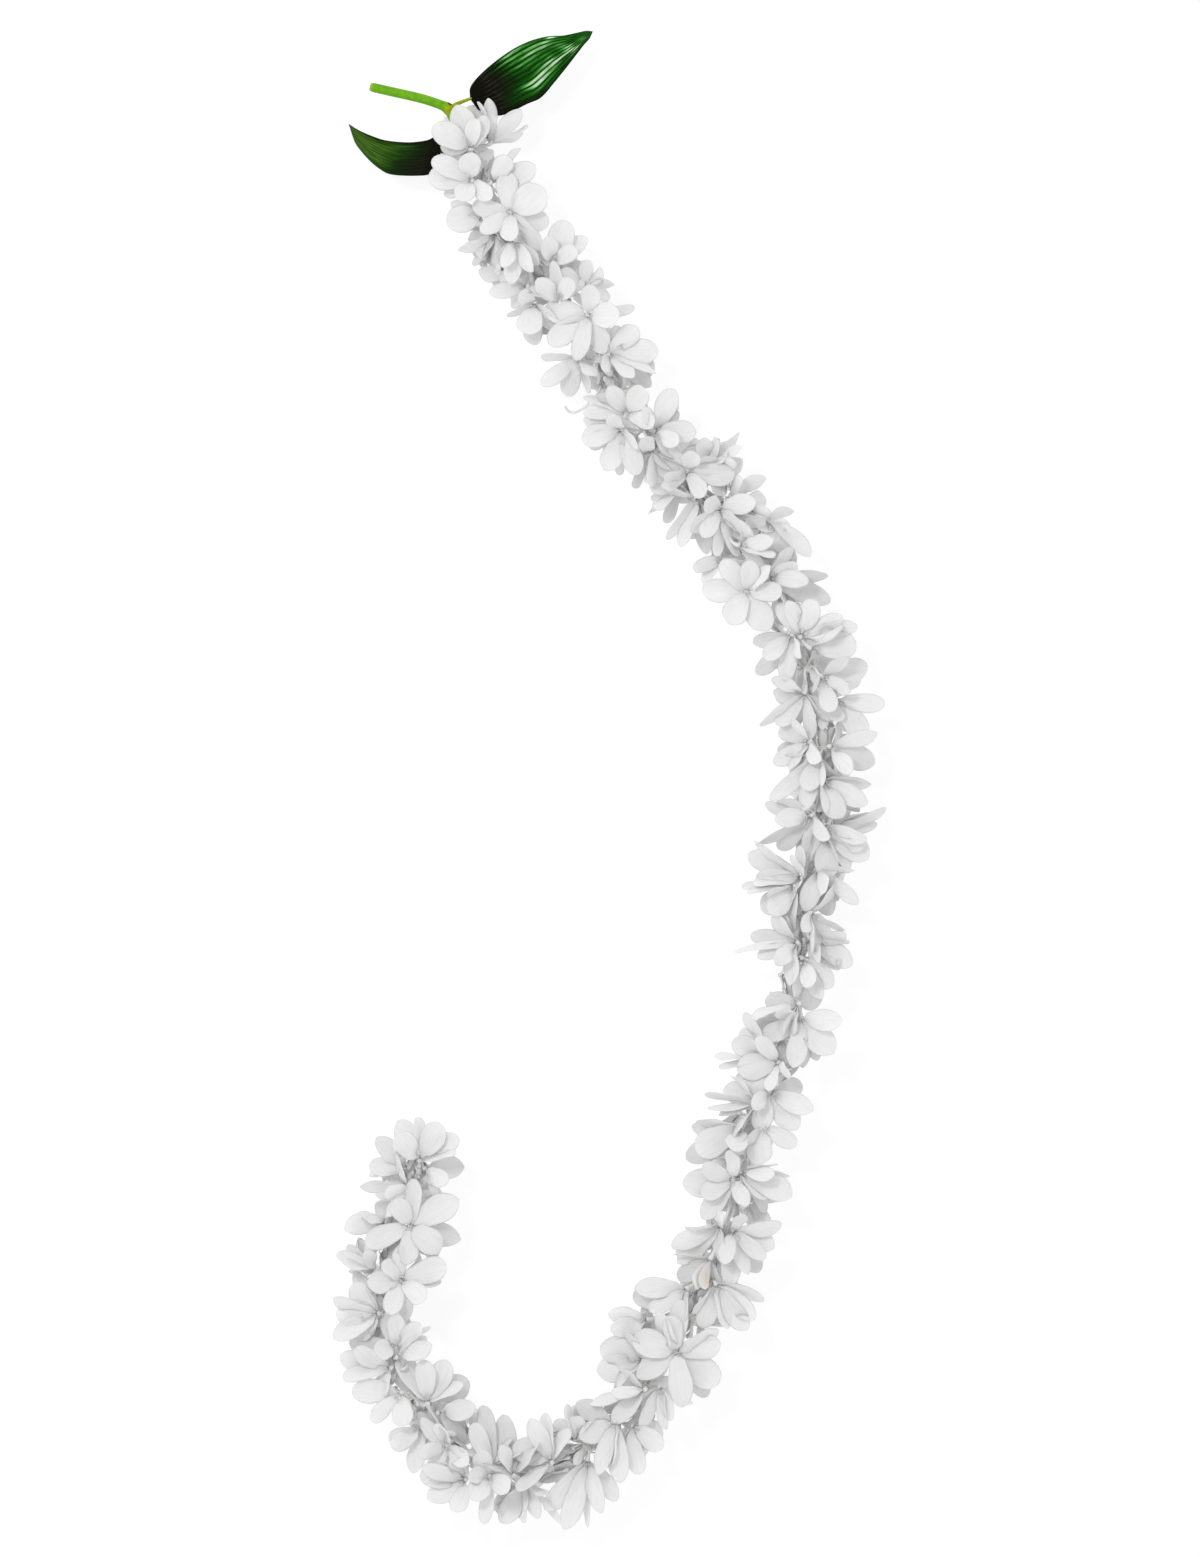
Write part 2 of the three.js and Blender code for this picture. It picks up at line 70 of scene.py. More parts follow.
PETAL_LENGTH = 20.0  # along the middle line of a usual petal
PETAL_WIDTH = 10.6  # where it is broadest
PETAL_THICKNESS = 0.5
STALK_RADIUS = 0.7
THREAD_RADIUS = 0.42
STRAY_RADIUS = 0.6  # of the withered stalk beside the strand
STEM_RADIUS = 1.8
LEAF_THICKNESS = 0.6

# The cord's course, chosen along the middle of the strand, in pixels.
CORD_COURSE = [
    (455, 118), (486, 192), (533, 265), (582, 334), (630, 405),
    (686, 475), (738, 534), (784, 606), (815, 684), (826, 765),
    (813, 850), (801, 930), (786, 1026), (754, 1117), (733, 1200),
    (711, 1275), (664, 1351), (615, 1422), (548, 1466), (474, 1459),
    (415, 1402), (384, 1325), (393, 1248), (412, 1180), (418, 1140),
]

# The florets that show from above: throat in pixels, then the way the floret faces, in
# degrees: round from the picture's right, and tilted away from straight up.
UPPER_FLORETS = [
    (469, 146, 120, 40), (495, 139, 50, 78), (470, 181, 180, 25), (495, 178, 60, 70),
    (510, 212, 0, 0), (479, 215, 190, 60), (491, 237, 215, 80), (516, 247, 262, 50),
    (507, 274, 200, 75), (554, 261, 60, 50), (522, 288, 190, 60), (559, 297, 100, 50),
    (587, 284, 30, 75), (588, 315, 0, 5), (533, 307, 250, 50), (575, 362, 240, 75),
    (612, 354, 10, 35), (627, 412, 75, 28), (619, 432, 225, 35), (660, 432, 0, 60),
    (651, 457, 265, 75), (688, 471, 0, 8), (714, 461, 20, 80), (676, 491, 255, 80),
    (721, 511, 300, 25), (695, 503, 235, 70), (735, 491, 40, 80), (747, 505, 0, 60),
    (745, 545, 10, 60), (717, 560, 190, 80), (769, 518, 45, 80), (747, 592, 0, 0),
    (774, 578, 0, 65), (803, 632, 65, 60), (790, 639, 240, 50), (816, 650, 340, 70),
    (826, 680, 330, 50), (841, 701, 345, 65), (802, 698, 235, 60), (804, 743, 180, 55),
    (835, 747, 345, 60), (816, 761, 240, 60), (826, 783, 320, 55), (808, 819, 215, 45),
    (839, 828, 20, 75), (828, 828, 310, 60), (826, 840, 285, 55), (796, 877, 170, 60),
    (821, 874, 300, 65), (791, 891, 235, 50), (816, 915, 330, 70), (791, 942, 180, 70),
    (814, 941, 325, 55), (803, 963, 280, 55), (792, 1005, 180, 70), (801, 1020, 280, 30),
    (761, 1054, 170, 70), (776, 1062, 150, 25), (771, 1095, 300, 35), (750, 1103, 175, 85),
    (738, 1130, 240, 40), (764, 1130, 290, 40), (731, 1180, 180, 15), (746, 1173, 350, 60),
    (734, 1232, 290, 25), (716, 1229, 215, 55), (707, 1263, 235, 65), (719, 1288, 300, 55),
    (682, 1290, 200, 55), (676, 1352, 0, 0), (642, 1319, 175, 70), (637, 1360, 165, 55),
    (639, 1390, 190, 65), (660, 1393, 275, 65), (612, 1425, 230, 45), (636, 1429, 310, 60),
    (587, 1466, 265, 65), (571, 1435, 120, 70), (548, 1458, 135, 55), (525, 1488, 265, 80),
    (512, 1469, 100, 60), (489, 1478, 250, 20), (491, 1460, 100, 70), (462, 1481, 200, 40),
    (445, 1446, 200, 25), (418, 1433, 215, 65), (444, 1413, 0, 60), (427, 1398, 97, 52),
    (397, 1395, 215, 55), (386, 1369, 190, 55), (396, 1347, 90, 20), (402, 1354, 30, 65),
    (374, 1313, 185, 55), (402, 1279, 60, 15), (371, 1266, 150, 65), (411, 1225, 0, 5),
    (380, 1222, 175, 65), (402, 1187, 185, 70), (430, 1171, 350, 60), (405, 1165, 160, 35),
    (421, 1157, 70, 45),
]

# The petals that show on each of these florets: the petal's tip in pixels and its width there as
# it is seen, also in pixels. A width below 0 marks a petal of the lower, shaded layer. A fourth
# number is how far the tip rises above the neck, in millimetres, where that can be told.
SEEN_PETALS = {
    0: (
        (441, 147, -17), (433, 129, 24, 2), (457, 106, 24, -2), (477, 121, 16), (474, 105, -20),
        (485, 117, 15),
    ),
    1: (
        (489, 99, 14, 10), (520, 112, 16, 9), (527, 127, 4), (522, 133, 8), (479, 102, 5, 10),
        (480, 121, -16),
    ),
    2: (
        (429, 177, 25, -1), (433, 160, 20, 3), (470, 154, 22), (460, 201, 20), (491, 199, 17),
        (444, 194, -14), (490, 150, -14),
    ),
    3: ((508, 158, 19, 6), (535, 165, 22, 1), (520, 149, 7), (487, 160, -14)),
    4: (
        (506, 172, 21), (545, 191, 31, 2), (548, 224, 22, -2), (540, 249, 15), (508, 241, 17),
        (481, 232, 17), (473, 206, 18),
    ),
    5: ((447, 222, 26), (451, 204, -14)),
    6: ((458, 250, 9), (473, 254, -12), (473, 264, -7), (468, 238, -14)),
    7: ((502, 267, 14), (533, 272, 13), (511, 285, 17)),
    8: ((480, 273, -15), (493, 284, -12)),
    9: ((566, 221, 25), (587, 237, 17), (550, 237, 18), (576, 250, 17)),
    10: ((490, 293, 15), (511, 304, -14), (547, 301, -14)),
    11: ((553, 261, 13), (537, 280, 19), (571, 280, 17)),
    12: ((588, 261, 14), (601, 272, 12), (612, 284, 11), (610, 297, -13), (562, 271, 14)),
    13: (
        (546, 309, 24), (590, 286, 19), (619, 315, 25), (605, 353, 22), (576, 360, 17), (549, 343, 22),
        (634, 308, 11),
    ),
    14: ((526, 333, 24), (508, 317, -6), (520, 294, 16), (534, 344, -18), (551, 331, -9)),
    15: ((542, 383, 16), (567, 395, -18), (588, 393, -9), (594, 378, 12), (541, 358, 8), (573, 371, 14)),
    16: (
        (638, 328, 20), (657, 351, 25), (655, 374, 8), (632, 378, 13), (651, 386, -17), (603, 370, 12),
        (619, 326, -12),
    ),
    17: ((608, 388, 18), (642, 388, 22), (584, 397, 8), (584, 412, 16), (654, 423, 17)),
    18: (
        (583, 439, 22), (605, 470, 21), (637, 475, 20), (619, 475, -12), (638, 447, 8), (583, 420, 17),
        (612, 414, 14),
    ),
    19: ((674, 390, 21), (679, 412, -16), (695, 433, 22), (677, 444, 17), (645, 408, 12)),
    20: ((643, 440, 17), (652, 487, 10), (635, 488, -11)),
    21: ((656, 450, 24), (692, 452, 19), (662, 487, 14), (703, 497, 17), (734, 476, 22), (664, 477, 10)),
    22: ((706, 438, 18), (738, 433, 9), (740, 448, 9), (736, 463, 12), (726, 456, 9), (718, 440, 10)),
    23: (
        (656, 508, 13), (667, 521, -12), (689, 504, -14), (651, 491, 12), (652, 500, -10), (648, 514, 5),
    ),
    24: (
        (706, 500, 19), (755, 502, 20), (703, 537, 17), (717, 556, 12), (753, 538, 10), (765, 524, 13),
        (738, 557, 12),
    ),
    25: ((667, 539, 10), (680, 547, 13), (706, 554, -17)),
    26: ((742, 478, 10), (765, 478, 13)),
    27: ((766, 500, -18), (770, 512, 9)),
    28: ((773, 540, 16), (775, 556, 8)),
    29: ((694, 568, -14),),
    30: ((792, 511, 10), (791, 551, 21), (809, 556, 16)),
    31: (
        (722, 561, 20), (750, 561, 19), (703, 589, 22), (781, 591, 19), (730, 624, 24), (768, 630, 26),
        (770, 567, 12, 10),
    ),
    32: ((797, 565, 15, 2), (804, 577, 17, 9), (828, 576, -12), (831, 601, -21)),
    33: ((787, 602, 16), (812, 601, 21), (842, 617, 16), (857, 627, 17), (777, 604, 16)),
    34: (
        (764, 656, 17), (785, 681, 18), (801, 655, 8), (757, 674, -16), (753, 643, -15), (795, 688, -10),
    ),
    35: ((855, 642, 26), (812, 668, -12)),
    36: ((846, 657, 13), (868, 667, -22), (849, 691, 13), (832, 711, 18), (814, 689, 6)),
    37: ((884, 704, 18), (860, 680, 7), (866, 738, 22)),
    38: (
        (761, 724, 10), (771, 680, 13), (774, 694, -15), (842, 721, 17), (811, 738, 13), (795, 724, -14),
        (778, 724, 18),
    ),
    39: ((774, 763, 16), (818, 762, 14), (780, 729, -18)),
    40: ((874, 764, -23), (876, 733, 15), (848, 774, 17), (824, 764, -8), (841, 724, -9)),
    41: ((806, 789, 20), (803, 811, 17), (770, 799, 16), (822, 786, 7)),
    42: ((871, 785, 11), (866, 803, 20), (838, 818, 22), (824, 812, 8), (860, 812, -14)),
    43: ((776, 820, 19), (829, 838, 14), (757, 844, 8), (779, 849, -17), (808, 862, 16), (765, 804, -13)),
    44: ((871, 814, 12), (877, 823, -14), (885, 808, 9)),
    45: ((866, 838, 15, 9), (868, 858, 26, 0), (850, 873, 12)),
    46: ((828, 876, 23), (841, 881, 14)),
    47: (
        (757, 877, 18), (748, 854, -20), (755, 841, 7), (755, 884, 10), (742, 887, 8), (749, 893, 12),
        (799, 846, 9), (792, 856, 8),
    ),
    48: ((857, 903, 14), (827, 915, -18), (822, 892, 12), (804, 911, 19), (838, 901, -13)),
    49: ((771, 913, 22), (761, 910, -22), (794, 931, 10), (777, 931, -17), (768, 894, 7)),
    50: ((845, 930, 5), (803, 931, 14)),
    51: ((750, 936, -17), (737, 952, 7), (758, 957, 14), (788, 985, 13), (775, 963, 17)),
    52: ((846, 935, 14), (850, 942, 5), (851, 965, 21), (819, 960, 9)),
    53: ((795, 997, 12), (821, 998, 16), (833, 986, 22), (812, 1011, -26), (808, 986, 16)),
    54: ((765, 1001, -20), (752, 1018, 8)),
    55: (
        (841, 1019, 21, 9), (833, 1052, 26, 1), (793, 1066, 20), (763, 1036, 19), (752, 1029, -14),
        (776, 1012, 11), (803, 1068, -16), (817, 1060, -14),
    ),
    56: ((743, 1013, 12), (733, 1043, 20), (716, 1056, 7), (719, 1067, 8), (741, 1030, -14)),
    57: (
        (758, 1037, 16), (738, 1070, 26), (745, 1093, 20), (790, 1075, 8), (769, 1090, 12),
        (736, 1078, -12),
    ),
    58: ((812, 1110, 20, 8), (797, 1129, 24, 0), (758, 1130, 20), (802, 1086, -19), (752, 1106, 16)),
    59: ((725, 1086, -20), (706, 1094, 7), (708, 1108, 7), (719, 1115, 10)),
    60: ((732, 1148, 22), (697, 1151, 28), (687, 1159, -23), (696, 1122, 9), (692, 1128, -16)),
    61: ((758, 1164, 24), (796, 1145, 17)),
    62: (
        (683, 1183, 27), (703, 1166, 18), (702, 1195, 20), (731, 1151, 14), (702, 1218, 20),
        (747, 1205, 16),
    ),
    63: (
        (789, 1176, 10), (790, 1196, 24), (772, 1174, 14), (767, 1199, 12), (766, 1213, -13),
        (778, 1164, 4),
    ),
    64: (
        (781, 1224, 15), (774, 1248, 22), (759, 1273, -20), (730, 1286, 19), (723, 1262, 16),
        (748, 1273, 14), (765, 1258, 16), (742, 1214, 12),
    ),
    65: ((672, 1246, 18, 2), (678, 1263, 20, -3), (686, 1226, 4), (722, 1214, 8)),
    66: ((696, 1286, 12), (704, 1288, 11), (678, 1279, -18)),
    67: (
        (764, 1301, 12), (754, 1319, 20), (746, 1328, 20), (727, 1327, 14), (701, 1327, 19),
        (697, 1309, -14),
    ),
    68: ((635, 1288, 20), (633, 1299, -27), (650, 1310, 16)),
    69: (
        (671, 1316, 19), (681, 1300, 19), (634, 1337, 27), (637, 1377, 22), (683, 1406, 23),
        (718, 1383, 29), (720, 1343, 22), (718, 1330, 14), (707, 1396, -20), (658, 1312, 14),
    ),
    70: ((609, 1314, 17), (610, 1329, 20)),
    71: ((601, 1346, 27), (597, 1370, 27)),
    72: ((613, 1423, 18), (591, 1404, 10), (613, 1393, 12), (603, 1411, -16)),
    73: ((671, 1420, 13), (666, 1428, 10), (641, 1428, 13)),
    74: ((580, 1438, 22), (577, 1403, -20), (599, 1473, 17), (611, 1470, 9), (620, 1482, 20)),
    75: ((640, 1474, 18), (662, 1448, 20)),
    76: (
        (616, 1501, 17), (602, 1511, 16), (588, 1526, 8), (564, 1527, 20), (545, 1509, 20),
        (535, 1481, -18), (541, 1484, -12),
    ),
    77: ((577, 1416, 17), (555, 1421, -16), (567, 1405, 8)),
    78: ((531, 1419, 19), (545, 1413, 12), (514, 1444, 26), (516, 1488, 14)),
    79: (
        (501, 1522, 21), (524, 1521, 9), (539, 1517, 14), (492, 1512, -9), (562, 1526, 7),
        (547, 1496, 8),
    ),
    80: ((503, 1415, -20), (499, 1447, 13)),
    81: ((509, 1489, 20), (472, 1498, 22), (484, 1523, 14), (480, 1451, 19), (469, 1474, 17)),
    82: ((474, 1423, 18), (483, 1406, -17)),
    83: ((420, 1475, 24, 2), (428, 1498, 20), (455, 1510, 17), (453, 1456, 18), (424, 1465, 16, 9)),
    84: ((419, 1454, 15), (438, 1423, 12), (467, 1464, 18, 11), (445, 1428, 10)),
    85: ((392, 1446, 18), (413, 1473, 17)),
    86: ((475, 1406, 21), (463, 1447, -15)),
    87: ((424, 1361, 20), (446, 1360, 22), (463, 1383, 12), (469, 1384, -25), (397, 1361, 15)),
    88: ((352, 1393, 23), (373, 1421, 15), (403, 1425, 20)),
    89: ((344, 1377, 15), (356, 1348, 18), (340, 1357, 20)),
    90: (
        (375, 1350, 20), (367, 1333, -20), (396, 1314, 17), (420, 1323, 19), (430, 1327, 5),
        (350, 1343, -20),
    ),
    91: ((431, 1344, 18), (412, 1375, -12), (426, 1336, 12)),
    92: ((335, 1298, 13), (337, 1313, 26), (334, 1338, 20), (353, 1284, 21), (353, 1272, -15)),
    93: (
        (368, 1282, 22), (383, 1262, 14), (445, 1264, 24), (441, 1281, 13), (424, 1300, 20),
        (390, 1313, 19), (407, 1319, 15),
    ),
    94: (
        (338, 1255, 13), (347, 1247, -12), (345, 1264, 8), (349, 1270, -8), (366, 1251, 14),
        (357, 1240, -14), (362, 1274, -12),
    ),
    95: (
        (458, 1199, 27), (440, 1250, 25), (460, 1240, -22), (406, 1264, 20), (366, 1244, 22),
        (396, 1199, 20), (414, 1179, 17),
    ),
    96: ((345, 1228, 20), (360, 1214, 8), (384, 1200, -16)),
    97: ((361, 1186, 11), (385, 1195, 13)),
    98: ((464, 1168, -22), (445, 1184, 18)),
    99: ((370, 1166, 18), (370, 1174, -10), (384, 1149, 13), (376, 1138, -18)),
    100: (
        (395, 1137, 24), (398, 1121, -22), (418, 1118, 13), (439, 1124, 24), (459, 1138, 22),
        (456, 1151, 8),
    ),
}

# Places where the photograph shows the ground beside a floret, in pixels, with the radius that
# stays clear. A petal that isn't one of those above is left out where it would reach into one.
CLEAR_PLACES = [
    (508, 149, 11), (546, 234, 6), (507, 307, 7), (543, 346, 8), (560, 351, 7), (660, 378, 10),
    (654, 391, 9), (681, 511, 8), (697, 552, 9), (748, 474, 6), (764, 490, 7), (780, 505, 7),
    (750, 630, 9), (755, 652, 6), (773, 633, 4), (806, 573, 6), (848, 684, 7), (868, 690, 5),
    (777, 856, 6), (831, 911, 7), (848, 885, 6), (768, 974, 13), (755, 984, 11), (752, 1002, 10),
    (842, 973, 7), (810, 1074, 10), (711, 1114, 7), (774, 1151, 7), (768, 1166, 4), (772, 1210, 6),
    (689, 1216, 10), (680, 1228, 7), (668, 1269, 8), (722, 1336, 7), (543, 1490, 6), (558, 1410, 8),
    (389, 1422, 10), (472, 1507, 9), (488, 1413, 6), (340, 1267, 8), (344, 1285, 7), (417, 1315, 7),
    (434, 1341, 8), (430, 1359, 7), (381, 1128, 8), (371, 1154, 9), (373, 1206, 7), (603, 1394, 6),
    (628, 1289, 6), (712, 430, 5), (802, 665, 5), (517, 142, 5), (460, 237, 6), (594, 262, 5),
    (509, 316, 5), (678, 507, 6), (789, 857, 6), (780, 989, 5), (719, 1091, 5), (812, 1093, 6),
    (364, 1412, 5), (392, 1429, 6),
]

# Under each bunch one floret: every third is pressed flat on the table, and the two between
# lean out to either side. Degrees from straight down, towards the left.
UNDER_LEANS = (0, 52, -52)

# Stem and leaves: pixels and height.
STEM_TAIL_HEIGHT = AXIS_HEIGHT + CORD_RADIUS + GAP + STEM_RADIUS
STEM_COURSE = [
    (370.5, 86.5, 20), (385, 90, 21.5), (405, 94.5, 23), (425, 99.5, 25), (442, 105.5, 26.3),
    (449.5, 110, STEM_TAIL_HEIGHT), (453, 118, STEM_TAIL_HEIGHT), (459.5, 130, STEM_TAIL_HEIGHT),
]
STEM_NODE = (450, 108.5, 26.6)
PETIOLE_HEIGHT = 20.5  # of the left leaf's, where it is bound in

# Each leaf: its petiole, its two edges, then its heights in millimetres from foot to tip, and the
# degrees that it leans to its left. Bulge and ridge are how far it stands up in its middle, as a
# share of its half width, and between its veins, in millimetres. Its tones: the petiole's, how
# much of the ground tone its veins keep, and for the ground how far along the foot's painted shade
# starts to go and has gone, then the shaded and the ground tone. Patches are painted highlights,
# pale places between the veins: share of the length, share of the width from the right edge, how
# long, how wide, how pale.
RIGHT_LEAF = {
    "petiole": [
        (452, 107, 27.2), (456, 104.5, 28), (462, 102, 28.4), (470, 99, 28.6), (475, 97, 28.7),
    ],
    "left_edge": [
        (470, 99), (471, 86), (486.5, 69), (509.5, 51.5), (529, 41.5), (547.5, 36.5), (563, 35.5),
        (577, 32.5), (586, 30.5), (593, 31),
    ],
    "right_edge": [
        (470, 99), (477, 109.5), (500, 116), (528, 104), (541.5, 97.5), (555, 82), (569, 64.5),
        (583.5, 45.5), (589.5, 38.5), (593, 31),
    ],
    "heights": [28.6, 29.6, 30.2, 30.4, 30, 29, 27.5, 25.5, 23, 20],
    "roll": 0, "bulge": 0.1, "ridge": 0.4, "petiole_tone": 0.42, "vein_dark": 0.6,
    "ground": (0.12, 0.5, 0.08, 0.44),
    "patches": [
        (0.36, 0.90, 0.13, 0.12, 0.62), (0.56, 0.80, 0.13, 0.10, 0.40), (0.70, 0.93, 0.03, 0.09, 0.75),
        (0.44, 0.66, 0.17, 0.06, 0.30), (0.42, 0.28, 0.09, 0.08, 0.50), (0.56, 0.24, 0.10, 0.16, 0.60),
        (0.64, 0.38, 0.07, 0.16, 0.50), (0.79, 0.42, 0.05, 0.26, 0.72), (0.90, 0.45, 0.04, 0.18, 0.35),
    ],
}
LEFT_LEAF = {
    "petiole": [
        (455.5, 119.5, PETIOLE_HEIGHT), (460, 130, PETIOLE_HEIGHT), (458, 140, 20.5), (450, 148, 20),
        (441, 152, 18.6),
    ],
    "left_edge": [
        (441, 152), (438, 161), (431, 173.5), (416, 176), (391, 174.5), (379, 168.5), (369, 160),
        (361, 151), (354.5, 141.5), (348, 122.5),
    ],
    "right_edge": [
        (441, 152), (441, 140), (435, 136), (427, 139.5), (412, 141.5), (397, 141), (383, 139),
        (370, 134.5), (358, 129), (348, 122.5),
    ],
    "heights": [19.8, 19.8, 19.6, 19.4, 18.8, 17.6, 16, 13.8, 11, 8],
    # The left petiole's near-black tone is painted shade among the petals.
    "roll": -36, "bulge": -0.12, "ridge": 0.15, "petiole_tone": 0.03, "vein_dark": 0.8,
    "ground": (0.05, 0.7, 0.1, 0.56),
    "patches": [
        (0.62, 0.75, 0.14, 0.10, 0.16), (0.75, 0.45, 0.12, 0.14, 0.14), (0.50, 0.30, 0.16, 0.08, 0.12),
        (0.88, 0.50, 0.10, 0.20, 0.12),
    ],
}

# One withered stalk that curls out beside the strand.
STRAY_STALK = [
    (604, 380, 19), (600, 388, 19), (596, 395, 18), (590, 401, 17), (584, 407, 16), (578, 411, 15),
    (572, 412.5, 14.5), (567, 410, 14.5), (565, 406, 14.5),
]

BRUISE = (705, 1279, 36)  # where one petal has gone faintly tan
BRUISE_REACH = (2.0, 7.5)  # from its full tan to where it ends, in millimetres

UP = np.array([0.0, 0.0, 1.0])


# ---- Places and small helpers ----
def from_picture(pixels):
    px, py = pixels[:2]
    height = pixels[2] if len(pixels) > 2 else AXIS_HEIGHT
    return np.array([
        (px - PICTURE_CENTRE[0]) * MM_PER_PIXEL,
        (PICTURE_CENTRE[1] - py) * MM_PER_PIXEL,
        height,
    ])


def to_picture(point):
    return PICTURE_CENTRE[0] + point[0] / MM_PER_PIXEL, PICTURE_CENTRE[1] - point[1] / MM_PER_PIXEL


def wobble(n, salt):
    """A fixed irregular number from -1 to 1 for the nth piece."""
    spread = math.sin(n * 12.9898 + salt * 78.233) * 43758.5453
    return (spread - math.floor(spread)) * 2 - 1


def unit(vector):
    return vector / np.linalg.norm(vector)


def smooth(value):
    """Eases from 0 to 1."""
    value = np.clip(value, 0.0, 1.0)
    return value * value * (3 - 2 * value)


def bezier(start, leave, arrive, end, count):
    t = np.linspace(0, 1, count)[:, None]
    near, far = 3 * (1 - t) ** 2 * t, 3 * (1 - t) * t ** 2
    return (1 - t) ** 3 * start + near * leave + far * arrive + t ** 3 * end


class Course:
    """A smooth line through given points, measured along its length."""

    def __init__(self, points, samples=2000):
        self.points = np.array(points, float)
        self.shares = np.linspace(0, 1, samples + 1)
        line = self.at(self.shares)
        steps = np.linalg.norm(np.diff(line, axis=0), axis=1)
        self.lengths = np.concatenate([[0], np.cumsum(steps)])
        self.length = self.lengths[-1]

    def at(self, share):
        share = np.atleast_1d(np.clip(share, 0, 1)).astype(float)
        p = self.points
        last = len(p) - 1
        where = share * last
        slot = np.minimum(np.floor(where).astype(int), last - 1)
        t = (where - slot)[:, None]
        before = np.where((slot > 0)[:, None], p[np.maximum(slot - 1, 0)], 2 * p[0] - p[1])
        after = np.where((slot < last - 1)[:, None], p[np.minimum(slot + 2, last)], 2 * p[-1] - p[-2])
        start, end = p[slot], p[slot + 1]
        leave, arrive = 0.5 * (end - before), 0.5 * (after - start)
        return (
            start + leave * t
            + (3 * (end - start) - 2 * leave - arrive) * t ** 2
            + (2 * (start - end) + leave + arrive) * t ** 3
        )

    def place(self, distance):
        """Centre, direction along, and direction to the left in plan, at a distance."""
        share = np.interp(distance, self.lengths, self.shares)
        centre = self.at(share)[0]
        step = 1e-4
        along = unit((self.at(share + step) - self.at(share - step))[0])
        return centre, along, np.cross(UP, along)

    def spread(self, count):
        """Points evenly spaced along the whole length."""
        return self.at(np.interp(np.linspace(0, self.length, count), self.lengths, self.shares))


cord = Course([from_picture(p) for p in CORD_COURSE])
BUNCH_SPACING = (cord.length - FIRST_BUNCH - LAST_BUNCH) / (BUNCH_COUNT - 1)
CORD_STEPS = 1000
cord_samples = cord.spread(CORD_STEPS + 1)


def bunch_place(bunch):
    return cord.place(FIRST_BUNCH + bunch * BUNCH_SPACING)


def nearest_distance(point):
    gaps = np.hypot(*(cord_samples - point).T[:2])
    return np.argmin(gaps) / CORD_STEPS * cord.length


def round_cord(along, angle):
    """The direction at an angle round the cord, from its level side."""
    level = unit(np.cross(along, UP))
    return math.cos(angle) * level + math.sin(angle) * np.cross(level, along)


# ---- Florets: where each one sits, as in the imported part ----
UNDER_INDEX = 200  # of the first floret underneath, past all that show from above


def foot_of(neck, bunch):
    centre, along, _ = bunch_place(bunch)
    outward = neck - centre
    return centre + unit(outward - along * outward.dot(along)) * STALK_FOOT


def bunch_for(neck, facing, distance):
    """The bunch near a floret that its stalk reaches with the least bend and length."""
    nearest = round((distance - FIRST_BUNCH) / BUNCH_SPACING)

    def strain(bunch):
        reach = neck - foot_of(neck, bunch)
        bend = math.acos(np.clip(unit(reach).dot(facing), -1, 1))
        return bend + np.linalg.norm(reach) / STALK_EASE

    return min((k for k in (nearest - 1, nearest, nearest + 1) if 0 <= k < BUNCH_COUNT), key=strain)


def upper_floret(index, row):
    px, py, *turned = row
    turn, tilt = (math.radians(angle) for angle in turned)
    facing = np.array([
        math.cos(turn) * math.sin(tilt), math.sin(turn) * math.sin(tilt), math.cos(tilt),
    ])
    downhill = np.array([
        math.cos(turn) * math.cos(tilt), math.sin(turn) * math.cos(tilt), -math.sin(tilt),
    ])
    picked = from_picture((px, py))
    distance = nearest_distance(picked)
    centre, _, left = cord.place(distance)
    sideways = facing.dot(left)
    steepness = math.hypot(facing[2], sideways)
    outward = (picked - centre).dot(left)
    height = THROAT_REACH * facing[2] / steepness
    if outward * np.sign(sideways) < LEAST_REACH * abs(sideways) / steepness:
        height = max(height, math.sqrt(THROAT_REACH ** 2 - outward ** 2))  # faces over the cord
    throat = centre + left * outward + height * UP
    neck = throat - facing * HEAD_DEPTH
    return {
        "index": index, "bunch": bunch_for(neck, facing, distance), "neck": neck, "facing": facing,
        "downhill": downhill, "tilt": math.degrees(tilt), "under": False, "pressed": False,
    }


def under_floret(bunch):
    centre, along, left = bunch_place(bunch)
    lean = math.radians(UNDER_LEANS[bunch % len(UNDER_LEANS)])
    facing = -math.cos(lean) * UP + math.sin(lean) * left
    if lean == 0:
        neck = centre.copy()
        neck[2] = PETAL_REACH * math.cos(math.radians(PRESSED_OPENING))
    else:
        neck = centre + facing * (LEANING_REACH - HEAD_DEPTH)
    return {
        "index": UNDER_INDEX + bunch, "bunch": bunch, "neck": neck, "facing": facing,
        "downhill": along, "tilt": 180 - abs(math.degrees(lean)), "under": True, "pressed": lean == 0,
    }


florets = [upper_floret(i, row) for i, row in enumerate(UPPER_FLORETS)]
florets += [under_floret(bunch) for bunch in range(BUNCH_COUNT)]


# ---- Colours and materials ----
def linear(code):
    """An sRGB hex colour as the linear values that a shader takes."""
    channels = [int(code[i:i + 2], 16) / 255 for i in (1, 3, 5)]
    return tuple(c / 12.92 if c <= 0.04045 else ((c + 0.055) / 1.055) ** 2.4 for c in channels) + (1.0,)


def add_node(tree, kind, inputs=(), stops=(), **settings):
    """Adds a node with its settings. An input is given a value or another node's output, and a
    colour ramp is given its stops: place and hex colour."""
    node = tree.nodes.new(kind)
    for name, value in settings.items():
        setattr(node, name, value)
    for name, value in dict(inputs).items():
        if isinstance(value, bpy.types.NodeSocket):
            tree.links.new(value, node.inputs[name])
        else:
            node.inputs[name].default_value = value
    if stops:
        elements = node.color_ramp.elements
        while len(elements) < len(stops):
            elements.new(0.5)
        for element, (place, code) in zip(elements, stops):
            element.position, element.color = place, linear(code)
    return node


def new_material(name):
    material = bpy.data.materials.new(name)
    material.use_nodes = True
    tree = material.node_tree
    tree.nodes.clear()
    return material, tree


